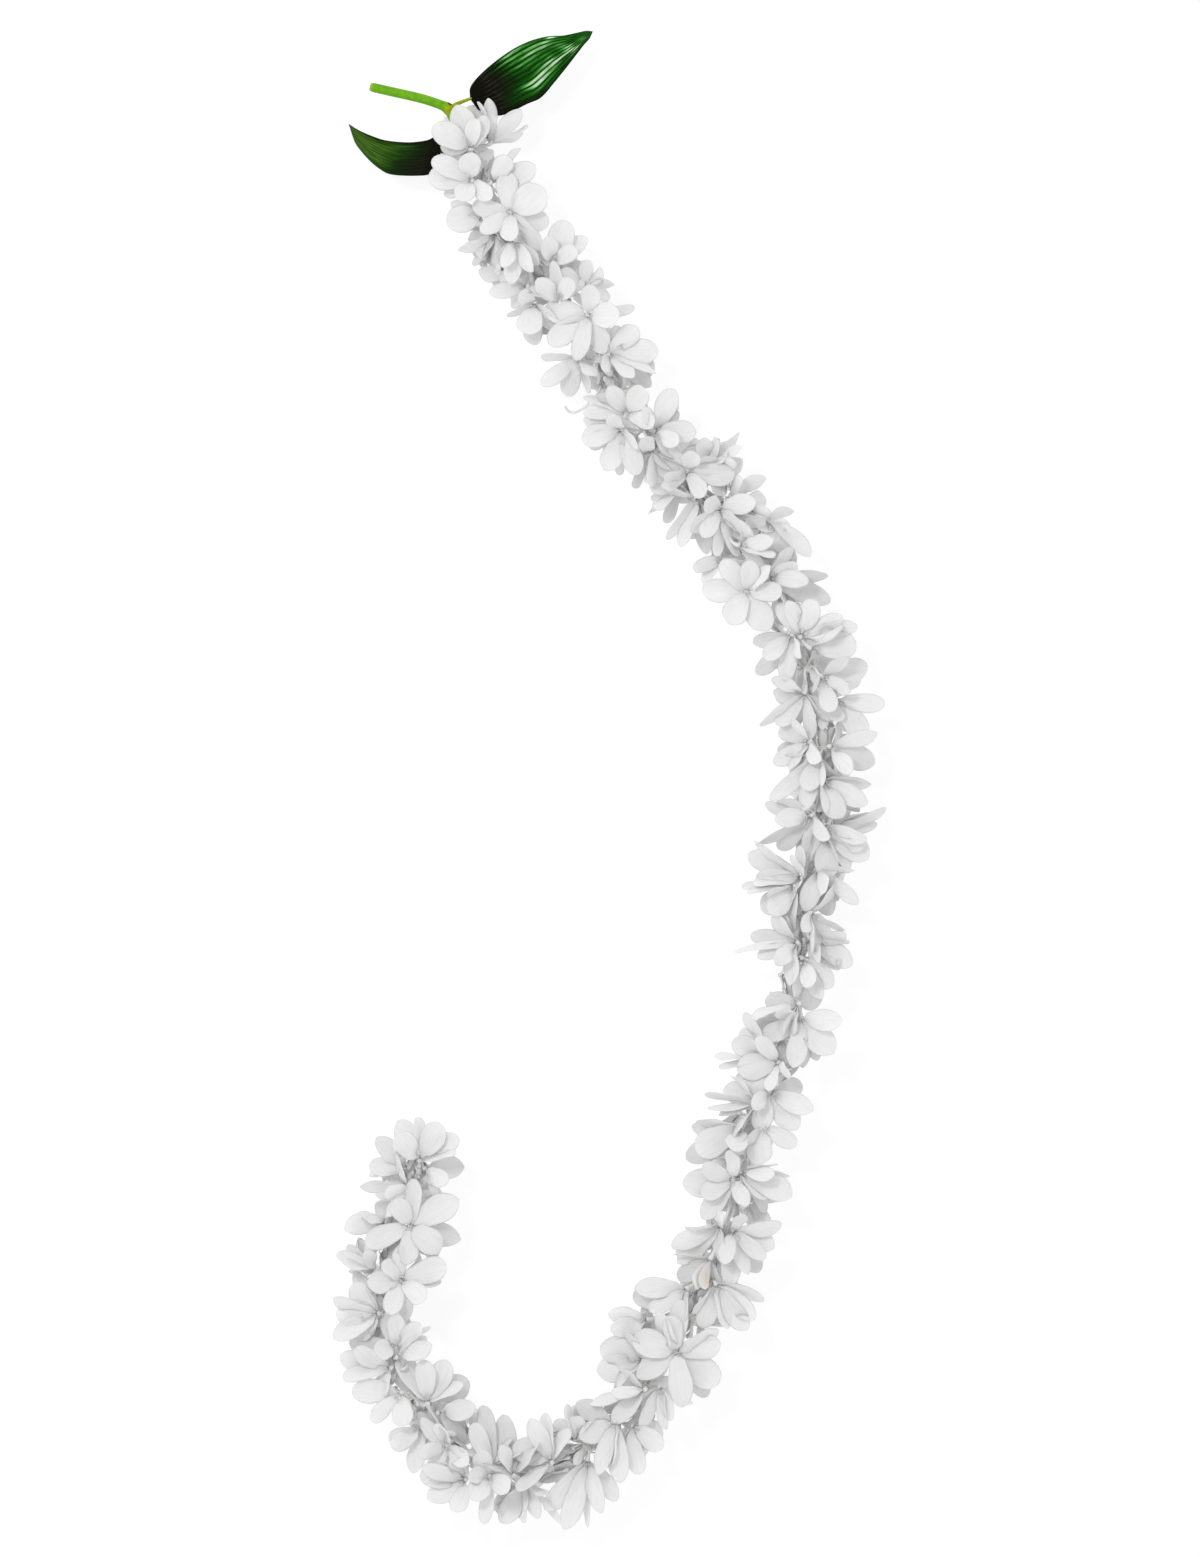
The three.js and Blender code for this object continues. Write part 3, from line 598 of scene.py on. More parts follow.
def finish_material(tree, inputs):
    shader = add_node(tree, "ShaderNodeBsdfPrincipled", inputs)
    add_node(tree, "ShaderNodeOutputMaterial", {"Surface": shader.outputs["BSDF"]})


def petal_tissue():
    """Fresh white petal: soft, faintly waxy cells, grown lengthwise in fine veins. The eye gets an
    even matt white. The tones are the mesh's own and carry painted shade: greyer towards the claw,
    round the margin and on the lower layer. Over them lie streaks about 1.3 mm wide and 7 mm long.
    Real veins are a third of a millimetre apart: these are drawn 0.9 mm apart, so that they show."""
    material, tree = new_material("petal_tissue")
    across = add_node(tree, "ShaderNodeUVMap", uv_map="petal_mm").outputs["UV"]
    tone = add_node(tree, "ShaderNodeAttribute", attribute_name="tone").outputs["Fac"]
    stretched = add_node(tree, "ShaderNodeMapping", {"Vector": across, "Scale": (0.8, 0.14, 1.0)})
    streaks = add_node(
        tree, "ShaderNodeTexNoise", {"Vector": stretched.outputs["Vector"], "Scale": 1.0, "Detail": 3.0},
    )
    uneven = add_node(tree, "ShaderNodeMapRange", {
        "Value": streaks.outputs["Fac"], "From Min": 0.3, "From Max": 0.7, "To Min": 0.84, "To Max": 1.08,
    })
    shade = add_node(
        tree, "ShaderNodeMath", {0: tone, 1: uneven.outputs["Result"]}, operation="MULTIPLY",
    )
    white = add_node(
        tree, "ShaderNodeValToRGB", {"Fac": shade.outputs[0]},
        [(0.0, "#aeaeaf"), (0.5, "#d8d8d8"), (0.8, "#e8e8e8"), (1.0, "#eeeeee")],
    )
    # One petal has gone faintly tan round one place.
    place = add_node(tree, "ShaderNodeTexCoord").outputs["Object"]
    from_bruise = add_node(
        tree, "ShaderNodeVectorMath", {0: place, 1: from_picture(BRUISE) / 1000}, operation="DISTANCE",
    )
    bruised = add_node(tree, "ShaderNodeMapRange", {
        "Value": from_bruise.outputs["Value"], "From Min": BRUISE_REACH[0] / 1000,
        "From Max": BRUISE_REACH[1] / 1000, "To Min": 0.7, "To Max": 0.0,
    })
    colour = add_node(tree, "ShaderNodeMix", {
        0: bruised.outputs["Result"], 6: white.outputs["Color"], 7: linear("#e2d2c3"),
    }, data_type="RGBA")
    veins = add_node(
        tree, "ShaderNodeTexWave", {"Vector": across, "Scale": 0.35, "Distortion": 1.5, "Detail": 2.0},
        bands_direction="X",
    )
    cells = add_node(tree, "ShaderNodeTexNoise", {"Vector": across, "Scale": 0.6, "Detail": 3.0})
    relief = add_node(
        tree, "ShaderNodeMath", {0: veins.outputs["Fac"], 1: cells.outputs["Fac"]}, operation="ADD",
    )
    bump = add_node(
        tree, "ShaderNodeBump", {"Height": relief.outputs[0], "Strength": 0.15, "Distance": 0.0003},
    )
    finish_material(tree, {
        "Base Color": colour.outputs[2], "Normal": bump.outputs["Normal"], "Roughness": 0.55, "IOR": 1.4,
        "Subsurface Weight": 0.4, "Subsurface Scale": 0.0015, "Subsurface Radius": (1.0, 1.0, 1.0),
    })
    return material


def plain_tissue(name, low, high, roughness, patch_mm):
    """Soft pale growth or spun cotton: the eye gets an uneven near-white over short distances.
    The noise's cells are three times a patch, and its detail breaks them into patches."""
    material, tree = new_material(name)
    place = add_node(tree, "ShaderNodeTexCoord").outputs["Object"]
    patches = add_node(
        tree, "ShaderNodeTexNoise", {"Vector": place, "Scale": 1000 / patch_mm / 3, "Detail": 3.0},
    ).outputs["Fac"]
    colour = add_node(tree, "ShaderNodeValToRGB", {"Fac": patches}, [(0.3, low), (0.7, high)])
    bump = add_node(tree, "ShaderNodeBump", {"Height": patches, "Strength": 0.3, "Distance": 0.0002})
    finish_material(tree, {
        "Base Color": colour.outputs["Color"], "Normal": bump.outputs["Normal"], "Roughness": roughness,
    })
    return material


def leaf_skin(name, stops, roughness, streaks_over):
    """Ruscus leaf: a hard waxy skin over raised parallel veins about 2 mm apart. The eye gets
    near-black green with paler streaks between the veins, and sharp highlights on the ridges. The
    mesh's tones paint shade on the leaf's foot, and the pale streaks are painted highlights. The
    streaks are given as how many go over the leaf's length and over its width."""
    material, tree = new_material(name)
    place = add_node(tree, "ShaderNodeUVMap", uv_map="leaf_share").outputs["UV"]
    tone = add_node(tree, "ShaderNodeAttribute", attribute_name="tone").outputs["Fac"]
    stretched = add_node(tree, "ShaderNodeMapping", {"Vector": place, "Scale": (*streaks_over, 1.0)})
    streaks = add_node(
        tree, "ShaderNodeTexNoise", {"Vector": stretched.outputs["Vector"], "Scale": 1.0, "Detail": 4.0},
    ).outputs["Fac"]
    uneven = add_node(tree, "ShaderNodeMapRange", {
        "Value": streaks, "From Min": 0.3, "From Max": 0.7, "To Min": 0.55, "To Max": 1.3,
    })
    shade = add_node(
        tree, "ShaderNodeMath", {0: tone, 1: uneven.outputs["Result"]}, operation="MULTIPLY",
    )
    green = add_node(tree, "ShaderNodeValToRGB", {"Fac": shade.outputs[0]}, stops)
    ridges = add_node(tree, "ShaderNodeBump", {"Height": streaks, "Strength": 0.5, "Distance": 0.0003})
    finish_material(tree, {
        "Base Color": green.outputs["Color"], "Normal": ridges.outputs["Normal"],
        "Roughness": roughness, "IOR": 1.5, "Specular IOR Level": 0.05,
    })
    return material


def stem_skin():
    """Fresh green stem: smooth thin skin, olive at the swelling and the right petiole, brown at
    the bud scale's tip, with faint patches about 3 mm across. The left petiole takes the same dark
    brown as painted shade among the petals."""
    material, tree = new_material("stem_skin")
    tone = add_node(tree, "ShaderNodeAttribute", attribute_name="tone").outputs["Fac"]
    place = add_node(tree, "ShaderNodeTexCoord").outputs["Object"]
    patches = add_node(
        tree, "ShaderNodeTexNoise", {"Vector": place, "Scale": 350.0, "Detail": 3.0},
    ).outputs["Fac"]
    green = add_node(
        tree, "ShaderNodeValToRGB", {"Fac": tone},
        [(0.0, "#3a3410"), (0.3, "#94901a"), (0.5, "#a0b01a"), (0.75, "#62ad06"), (1.0, "#a9ad4c")],
    )
    uneven = add_node(tree, "ShaderNodeMapRange", {
        "Value": patches, "From Min": 0.3, "From Max": 0.7, "To Min": 0.8, "To Max": 1.1,
    })
    colour = add_node(tree, "ShaderNodeMix", {
        0: 1.0, 6: green.outputs["Color"], 7: uneven.outputs["Result"],
    }, data_type="RGBA", blend_type="MULTIPLY")
    bump = add_node(tree, "ShaderNodeBump", {"Height": patches, "Strength": 0.4, "Distance": 0.0002})
    finish_material(tree, {
        "Base Color": colour.outputs[2], "Normal": bump.outputs["Normal"], "Roughness": 0.5,
        "Specular IOR Level": 0.1,
    })
    return material


# The right leaf's streaks are about 8 mm long and a third of a millimetre wide. The left leaf is
# older and duller, with broader streaks. The dark stops near each ramp's foot serve the painted
# shade at the leaf's foot, and its top stop is the colour of the painted highlights.
RIGHT_GREENS = [
    (0.0, "#030501"), (0.12, "#100f02"), (0.3, "#093206"), (0.5, "#1b6611"), (0.72, "#54a044"),
    (1.0, "#c6dcc2"),
]
LEFT_GREENS = [
    (0.0, "#020401"), (0.1, "#100f04"), (0.25, "#0c2805"), (0.55, "#365e10"), (1.0, "#7a9a50"),
]
MATERIALS = {
    "petal": petal_tissue(),
    # Young stalk tissue, full of water: smooth and faintly waxy, in soft patches.
    "stalk": plain_tissue("pale_stalk", "#e4e4e3", "#f4f4f3", 0.5, 1.5),
    # Filaments with dry, mealy anthers: a duller, greyer white, mottled over half a millimetre.
    "stamen": plain_tissue("stamen", "#c6c6c6", "#e6e6e6", 0.6, 0.6),
    # Spun cotton sewing thread: matt, with a fine fuzz that scatters the light.
    "thread": plain_tissue("cotton_thread", "#e6e6e4", "#f6f6f5", 0.85, 0.5),
    # Cotton cord twisted from three yarns: the same fuzz, a little coarser and duller still.
    "cord": plain_tissue("twisted_cotton", "#e4e4e2", "#f4f4f3", 0.9, 0.6),
    "stem": stem_skin(),
    "right_leaf": leaf_skin("ruscus_leaf_right", RIGHT_GREENS, 0.24, (9.0, 70.0)),
    "left_leaf": leaf_skin("ruscus_leaf_left", LEFT_GREENS, 0.34, (4.0, 24.0)),
}


# ---- Building meshes ----
class Shape:
    """Points, faces and what each carries, gathered before they become one mesh."""

    def __init__(self):
        self.points, self.uvs, self.tones = [], [], []
        self.faces, self.finishes = [], []
        self.count = 0

    def add(self, points, faces, finish, uvs=None, tones=None):
        points = np.asarray(points, float)
        self.points.append(points)
        self.uvs.append(np.zeros((len(points), 2)) if uvs is None else uvs)
        self.tones.append(np.ones(len(points)) if tones is None else tones)
        self.faces += [[self.count + corner for corner in face] for face in faces]
        self.finishes += [finish] * len(faces)
        self.count += len(points)

    def build(self, name, finishes, uv_name, nodes):
        mesh = bpy.data.meshes.new(name)
        mesh.from_pydata(np.concatenate(self.points) / 1000, [], self.faces)
        for key in finishes:
            mesh.materials.append(MATERIALS[key])
        order = {key: i for i, key in enumerate(finishes)}
        mesh.polygons.foreach_set("material_index", [order[key] for key in self.finishes])
        mesh.polygons.foreach_set("use_smooth", [True] * len(mesh.polygons))
        corners = np.zeros(len(mesh.loops), int)
        mesh.loops.foreach_get("vertex_index", corners)
        layer = mesh.uv_layers.new(name=uv_name)
        layer.data.foreach_set("uv", np.concatenate(self.uvs)[corners].ravel())
        tone = mesh.attributes.new("tone", "FLOAT", "POINT")
        tone.data.foreach_set("value", np.concatenate(self.tones))
        piece = bpy.data.objects.new(name, mesh)
        bpy.context.scene.collection.objects.link(piece)
        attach(piece, "root")
        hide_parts(*nodes)


def add_tube(shape, path, radii, sides, finish, tones=None):
    """A closed tube along a path, its sections turned as little as the path allows."""
    path = np.asarray(path, float)
    count = len(path)
    radii = np.broadcast_to(radii, count)
    tangents = np.gradient(path, axis=0)
    tangents /= np.linalg.norm(tangents, axis=1)[:, None]
    start = np.cross(tangents[0], UP if abs(tangents[0][2]) < 0.9 else np.array([1.0, 0, 0]))
    across = unit(start)
    angles = np.arange(sides) / sides * 2 * math.pi
    rings = []
    for point, tangent, radius in zip(path, tangents, radii):
        across = unit(across - tangent * across.dot(tangent))
        other = np.cross(tangent, across)
        spokes = np.cos(angles)[:, None] * across + np.sin(angles)[:, None] * other
        rings.append(point + radius * spokes)
    faces = []
    for i in range(count - 1):
        for j in range(sides):
            k = (j + 1) % sides
            faces.append((i * sides + j, i * sides + k, (i + 1) * sides + k, (i + 1) * sides + j))
    faces.append(tuple(reversed(range(sides))))
    faces.append(tuple((count - 1) * sides + j for j in range(sides)))
    spread = None if tones is None else np.repeat(tones, sides)
    shape.add(np.concatenate(rings), faces, finish, tones=spread)


def skin_faces(rows, columns):
    """The faces of a thin blade: a front and a back grid that share their rim and end in one
    point at the tip. Also gives the places of the back's own points."""
    front = np.arange((rows - 1) * columns).reshape(rows - 1, columns)
    tip = front.size
    back = front.copy()
    inner = [(i, j) for i in range(1, rows - 1) for j in range(1, columns - 1)]
    for n, (i, j) in enumerate(inner):
        back[i, j] = tip + 1 + n
    faces = []
    for i in range(rows - 2):
        for j in range(columns - 1):
            faces.append((front[i, j], front[i, j + 1], front[i + 1, j + 1], front[i + 1, j]))
            faces.append((back[i, j], back[i + 1, j], back[i + 1, j + 1], back[i, j + 1]))
    last = rows - 2
    for j in range(columns - 1):
        faces.append((front[last, j], front[last, j + 1], tip))
        faces.append((back[last, j + 1], back[last, j], tip))
    return [tuple(int(c) for c in face) for face in faces], inner


def skin_points(front, back, inner):
    """A blade's front and back grids in the order that its faces take them in."""
    flat = front[:-1].reshape(-1, *front.shape[2:])
    tip = front[-1, front.shape[1] // 2][None]
    behind = np.array([back[i, j] for i, j in inner])
    return np.concatenate([flat, tip, behind])


# ---- Petals ----
# A petal's mesh: its rows as shares of its length, its columns as shares of its half width.
ALONG = np.array([0, 0.07, 0.15, 0.24, 0.34, 0.45, 0.56, 0.67, 0.78, 0.87, 0.94, 0.98, 1.0])
ACROSS = np.array([-1, -0.93, -0.82, -0.45, 0, 0.45, 0.82, 0.93, 1])
PETAL_FACES, PETAL_INNER = skin_faces(len(ALONG), len(ACROSS))
FINE = np.linspace(0, 1, 41)  # the steps in which a petal's middle line is worked out
BROAD_ROWS = (6, 9)  # of the mesh, where a petal is broad
BROAD_RADIUS = 6  # how far it reaches round its middle line there, in pixels

PETALS_ROUND = 6  # in one layer of a floret
CLAW = 0.62  # width of a petal's narrow foot, as a share of the broadest
CLAW_END = 0.08  # share of the length where the foot starts to broaden
FREE_OVER = 0.22  # share of the length, from CLAW_END on, over which it leaves its neighbours
THROAT_OVERLAP = 1.06  # of neighbours in the throat
NECK_REACH = 1.0  # from the floret's axis to where a petal starts
NECK_ANGLE = 50  # degrees from the floret's axis, where a petal leaves the neck
OPEN_BY = 0.26  # share of the length where a petal has its full opening
CURL_FROM = 0.4  # share of the length where its curl starts
BROADEST_AT = (0.56, 0.68)  # share of the length, between these
FOOT_CUP = 0.12  # how far a petal is cupped at its foot
CUPPED_BY = 0.45  # share of the length where it has its own cup
RIM_WAVES = 1.4  # along a petal's length
TIP_THINNING = 0.35  # share of its thickness that it loses by its tip

# How petals vary, each number drawn evenly between two.
VARIED_LENGTH = (0.88, 1.08)  # share of the usual
VARIED_WIDTH = (0.86, 1.14)
VARIED_OPENING = (-9, 9)  # degrees
VARIED_CURL = (-25, 35)  # degrees that the middle line bends from CURL_FROM to the tip
VARIED_CUP = (-0.2, 0.36)  # how far the rims stand up, as a share of the half width
VARIED_TWIST = (-24, 24)  # degrees
VARIED_LEAN = (-0.12, 0.12)  # of the tip to one side, as a share of the length
VARIED_BLUNT = (0.48, 0.8)  # the end's outline is a power curve; a lower power is blunter
VARIED_WAVE = (0.2, 0.7)  # height of the rim's waves
VARIED_CREASE = (-0.2, 0.45)  # height of the fold along the middle
FOLDED_SHARE = 0.13  # of the loose petals, folded lengthwise like a boat
FOLDED_CUP = 0.65  # how much more a folded one is cupped
FOLDED_WIDTH = 0.9

# The petals that are aimed at a tip in the picture.
AIMED_CURL = (-20, 30)
AIMED_CUP = (0.0, 0.28)
AIMED_BOW = (-0.7, 0.7)  # how far the middle line bows to one side
AIMED_BLUNT = (0.45, 0.72)
USUAL_CHORD = 19.5  # from neck to tip, when a petal isn't foreshortened
REACH_TRUST = 0.4  # how far the seen reach sets the chord; the rest is the usual one
TIP_SLACK = 0.5  # the very tip hardly shows
RIM_SLACK = 1.1  # nor does the very rim, so a petal is a little broader than it is seen
LEAST_HALF = (3.8, 4.8)  # half the width of a petal that is seen on edge
LOWER_SLOPE = 0.35  # how steeply a petal of the lower layer goes down at least
NEIGHBOUR_RISE = 1.2  # every other petal rises this much more, and the rest this much less
LAYER_STEP = 0.35  # a petal sits this far in front of the next more open one
AIMED_TWIST_BY = 0.45  # share of the length where such a petal has its full twist

# Painted shade on a petal, as shares of its own tone.
THROAT_TONE = 0.6  # painted shade down in the throat
TONE_BY = 0.38  # share of the length where the throat's painted shade has gone
RIM_SHADE = 0.42  # painted shade: how much greyer a petal is along its very rim, where it curves away
RIM_WIDTH = 0.8  # of that painted shade
PATTERN_ROOM = 40  # each petal takes its streaks from its own place in a square of this side

SETTLE_FROM = 1.6  # petals nearer the table than this are pressed towards it


def petal_outline(share, broadest, blunt):
    swell = CLAW + (1 - CLAW) * smooth((share - CLAW_END) / (broadest - CLAW_END))
    end = np.clip(1 - ((share - broadest) / (1 - broadest)) ** 2, 0, 1) ** blunt
    return np.where(share < broadest, swell, end)


def petal_line(length, opening, curl):
    """The angle of a petal's middle line, its rise and its reach, row by row."""
    start = min(NECK_ANGLE, opening)
    angle = np.radians(
        start + (opening - start) * smooth(FINE / OPEN_BY)
        + curl * np.clip((FINE - CURL_FROM) / (1 - CURL_FROM), 0, 1) ** 1.4
    )
    step = length / (len(FINE) - 1)
    rise = np.concatenate([[0], np.cumsum(np.cos(angle[1:]) * step)])
    reach = np.concatenate([[0], np.cumsum(np.sin(angle[1:]) * step)])
    return tuple(np.interp(ALONG, FINE, line) for line in (angle, rise, reach))


def loose_form(draw, opening, size):
    """The form of a petal that is placed round its floret only."""
    folded = draw.random() < FOLDED_SHARE
    return {
        "length": PETAL_LENGTH * size * draw.uniform(*VARIED_LENGTH),
        "half": PETAL_WIDTH / 2 * size * draw.uniform(*VARIED_WIDTH) * (FOLDED_WIDTH if folded else 1.0),
        "opening": opening + draw.uniform(*VARIED_OPENING),
        "curl": draw.uniform(*VARIED_CURL),
        "cup": draw.uniform(*VARIED_CUP) + (FOLDED_CUP if folded else 0.0),
        "twist": math.radians(draw.uniform(*VARIED_TWIST)), "twisted_by": 1.0,
        "lean": draw.uniform(*VARIED_LEAN), "bow": 0.0,
        "blunt": draw.uniform(*VARIED_BLUNT),
    }


def aimed_form(neck, facing, seen, draw, lift):
    """The way outward and the form of a petal whose tip and width are seen in the picture. What
    its seen reach leaves of its length goes up towards the eye, or down in the lower layer."""
    tip_x, tip_y, seen_width, *told_rise = seen
    across = (from_picture((tip_x, tip_y)) - neck)[:2]
    across *= 1 + TIP_SLACK / np.linalg.norm(across)
    reach = math.hypot(*across)
    chord = max(reach, REACH_TRUST * reach + (1 - REACH_TRUST) * USUAL_CHORD)
    rise = math.sqrt(chord ** 2 - reach ** 2) + lift
    if seen_width < 0:
        rise = -max(rise, LOWER_SLOPE * reach)
    if told_rise:
        rise = told_rise[0]
    goal = neck + np.array([*across, rise])
    length, aim = math.hypot(reach, rise), goal.copy()
    curl = draw.uniform(*AIMED_CURL)
    for _ in range(4):  # each pass brings the curled petal's tip nearer its goal
        direction = unit(aim - neck)
        opening = math.degrees(math.acos(np.clip(direction.dot(facing), -1, 1)))
        outward = unit(direction - facing * direction.dot(facing))
        _, rises, reaches = petal_line(length, opening, curl)
        tip = neck + rises[-1] * facing + (NECK_REACH + reaches[-1]) * outward
        length *= np.linalg.norm(goal - neck) / np.linalg.norm(tip - neck)
        aim += goal - tip

    # A petal that is seen narrower than it is has been turned about its own length.
    seen_half = abs(seen_width) * MM_PER_PIXEL / 2 * RIM_SLACK
    half = max(seen_half, draw.uniform(*LEAST_HALF))
    direction = unit(goal - neck)
    side = np.cross(facing, outward)
    normal = np.cross(direction, side)
    level = unit(np.cross(UP, direction))
    turn = math.atan2(level.dot(normal), level.dot(side))
    turn -= math.pi * round(turn / math.pi)
    aside = math.acos(min(1.0, seen_half / half))
    turn += aside if turn < 0 else -aside
    return outward, {
        "length": length, "half": half, "opening": opening, "curl": curl,
        "cup": draw.uniform(*AIMED_CUP), "twist": turn, "twisted_by": AIMED_TWIST_BY, "lean": 0.0,
        "bow": draw.uniform(*AIMED_BOW), "blunt": draw.uniform(*AIMED_BLUNT),
    }


def stays_clear(neck, facing, outward, form):
    """Whether a petal's broad part keeps out of the places that stay clear in the picture."""
    _, rise, reach = petal_line(form["length"], form["opening"], form["curl"])
    for row in BROAD_ROWS:
        x, y = to_picture(neck + rise[row] * facing + (NECK_REACH + reach[row]) * outward)
        if any(math.hypot(x - place[0], y - place[1]) < place[2] + BROAD_RADIUS for place in CLEAR_PLACES):
            return False
    return True


def settle(points, clear=0.0):
    """Nothing goes through the table: what would is laid on it, in the same order."""
    low = points[:, 2] < SETTLE_FROM + clear
    points[low, 2] = clear + SETTLE_FROM * np.exp((points[low, 2] - clear) / SETTLE_FROM - 1)
    return points


def add_petal(shape, neck, facing, outward, draw, form, tone, throat_tone=THROAT_TONE):
    """One petal: its middle line rises from the neck and opens outward, its blade is cupped,
    a little twisted and wavy at the rim, and thins to nothing there. Near the neck it is only
    as wide as its share of the throat, so that the petals join there in one shallow cup."""
    length, half = form["length"], form["half"]
    broadest = draw.uniform(*BROADEST_AT)
    wave, phase = draw.uniform(*VARIED_WAVE), draw.uniform(0, 2 * math.pi)
    crease = draw.uniform(*VARIED_CREASE)

    angle, rise, reach = petal_line(length, form["opening"], form["curl"])
    side = np.cross(facing, outward)
    middle = neck + np.outer(rise, facing) + np.outer(NECK_REACH + reach, outward)
    middle += np.outer(form["lean"] * length * ALONG ** 2 + form["bow"] * np.sin(math.pi * ALONG), side)
    normal = np.outer(np.sin(angle), facing) - np.outer(np.cos(angle), outward)
    turn = form["twist"] * smooth(ALONG / form["twisted_by"])[:, None]
    width_way = side * np.cos(turn) + normal * np.sin(turn)
    normal = normal * np.cos(turn) - side * np.sin(turn)

    throat_share = (NECK_REACH + reach) * math.tan(math.pi / PETALS_ROUND) * THROAT_OVERLAP
    throat_share += half * smooth((ALONG - CLAW_END) / FREE_OVER)
    widths = np.minimum(half * petal_outline(ALONG, broadest, form["blunt"]), throat_share)
    hollow = (FOOT_CUP + (form["cup"] - FOOT_CUP) * smooth(ALONG / CUPPED_BY)) * widths
    grid_width = np.outer(widths, ACROSS)
    lift = np.outer(hollow, ACROSS ** 2)
    rim = wave * np.sin(2 * math.pi * RIM_WAVES * ALONG + phase)
    rim *= smooth((ALONG - 0.15) / 0.3)  # the foot is stiff
    lift += np.outer(rim, np.sign(ACROSS) * np.abs(ACROSS) ** 1.6)
    lift += crease * np.outer(np.sin(ALONG * math.pi), 1 - np.abs(ACROSS))
    surface = middle[:, None] + width_way[:, None] * grid_width[..., None]
    surface = surface + normal[:, None] * lift[..., None]
    body = PETAL_THICKNESS / 2 * np.sqrt(1 - ACROSS ** 2) * np.ones_like(ALONG)[:, None]
    body *= (1 - TIP_THINNING * ALONG)[:, None]
    front = surface + normal[:, None] * body[..., None]
    back = surface - normal[:, None] * body[..., None]

    # Painted shade: each petal is greyer down in the throat and along its rim.
    from_rim = np.minimum(np.outer(widths, 1 - np.abs(ACROSS)), ((1 - ALONG) * length)[:, None])
    rim_shade = RIM_SHADE * (0.3 + 0.7 * smooth((ALONG - 0.2) / 0.25))[:, None]
    margin = 1 - rim_shade * (1 - smooth(from_rim / RIM_WIDTH))
    tones = tone * (throat_tone + (1 - throat_tone) * smooth(ALONG / TONE_BY))[:, None] * margin
    lengthwise = np.broadcast_to((ALONG * length)[:, None], grid_width.shape)
    uvs = np.stack([grid_width + half * 3, lengthwise], -1)
    uvs += np.array([draw.uniform(0, PATTERN_ROOM), draw.uniform(0, PATTERN_ROOM)])
    points = settle(skin_points(front, back, PETAL_INNER))
    shape.add(
        points, PETAL_FACES, "petal",
        skin_points(uvs, uvs, PETAL_INNER), skin_points(tones, tones, PETAL_INNER),
    )


# ---- Florets ----
FLORET_SEED = 1000
UPPER_TONE = (0.9, 1.0)  # of the seen petals
LOWER_TONE = (0.5, 0.75)  # painted shade: of the seen petals in the lower layer, which lies in shade
LOOSE_TONE = (0.78, 0.95)
SHADED_THROAT = 0.56  # tone of a throat that faces away from the light
LIT_THROAT = 0.18  # how much paler the throat of a floret that faces straight up is
LIT_TILT = 50  # degrees from straight up where that starts
RINGS_BACK = (0.0, 0.7, 5.5, 11.0)  # how far behind the neck each ring of loose petals starts
SECOND_RING = 3  # petals in it
OVER_PRESSED = (2, 3)  # the rings that only a pressed floret has, standing above it
OVER_OPENING = (50, 98)  # degrees that their petals open
PRESSED_RING_OPENING = 84  # the same for a floret that the table holds flat
RING_OPENING = (50, 62)  # degrees that the first ring's petals open
FACING_UP_OPENING = 12  # how much more a floret that faces the eye is open
FACING_UP_TILTS = (60, 20)  # degrees from straight up where that starts, and where it is full
VARIED_DIRECTION = (-9, 9)  # degrees that a loose petal strays round its floret
RING_OPENING_STEP = 14  # from one ring to the next
MOST_OPENING = 92
UNDER_SIZE = 0.88  # of the florets underneath, and again of the rings over a pressed one
UPPER_SIZE = (0.86, 0.98)
MOST_CLIMB = 0.3  # beside seen petals, loose ones rise no more steeply than this towards the eye
LEAST_ROOM = 40  # degrees that a petal of the first ring keeps from a seen one
STAMENS = 5
STAMEN_LENGTH = (3.0, 4.4)
STAMEN_LEAN = (0.3, 0.75)  # sideways, for 1 forwards
VARIED_STAMEN = (-20, 20)  # degrees that one strays round its floret
# From its foot to its tip: shares of a stamen's length, and its radius, with the anther at the end.
STAMEN_SHARES = np.array([0.5, 0.55, 0.82, 0.88, 0.95, 1.0])
STAMEN_RADII = np.array([0.22, 0.2, 0.18, 0.42, 0.42, 0.12])
STALK_SUNK = 0.6  # into the binding, at its foot
STALK_BENDS = (0.3, 0.45)  # shares of its reach that it runs straight on, at its foot and its neck
STALK_SWELLING = np.array([1, 1, 1, 1, 1, 1.05, 1.2, 1.6, 2.1])  # from the cord to the neck


def way_out(floret, degrees):
    """The direction at an angle round a floret's face, from its downhill side."""
    angle = math.radians(degrees)
    beside = np.cross(floret["facing"], floret["downhill"])
    return math.cos(angle) * floret["downhill"] + math.sin(angle) * beside


def add_aimed_petals(shape, floret, draw):
    """The petals whose tips show in the picture. Every other one round the floret rises a little
    more, and a more open one sits behind, so that they don't cross. Gives their directions."""
    neck, facing, downhill = floret["neck"], floret["facing"], floret["downhill"]
    x, y = to_picture(neck)
    rows = sorted(
        SEEN_PETALS.get(floret["index"], ()), key=lambda seen: math.atan2(seen[1] - y, seen[0] - x),
    )
    aimed = []
    for n, seen in enumerate(rows):
        lift = NEIGHBOUR_RISE if n % 2 else -NEIGHBOUR_RISE
        way, form = aimed_form(neck, facing, seen, draw, lift)
        tone = draw.uniform(*(LOWER_TONE if seen[2] < 0 else UPPER_TONE))
        aimed.append((way, form, tone))
    aimed.sort(key=lambda petal: -petal[1]["opening"])
    throat_tone = SHADED_THROAT + LIT_THROAT * smooth((LIT_TILT - floret["tilt"]) / LIT_TILT)
    for n, (way, form, tone) in enumerate(aimed):
        base = neck + facing * LAYER_STEP * (n - len(aimed) / 2)
        add_petal(shape, base, facing, way, draw, form, tone, throat_tone)
    beside = np.cross(facing, downhill)
    return [math.degrees(math.atan2(way.dot(beside), way.dot(downhill))) for way, _, _ in aimed]


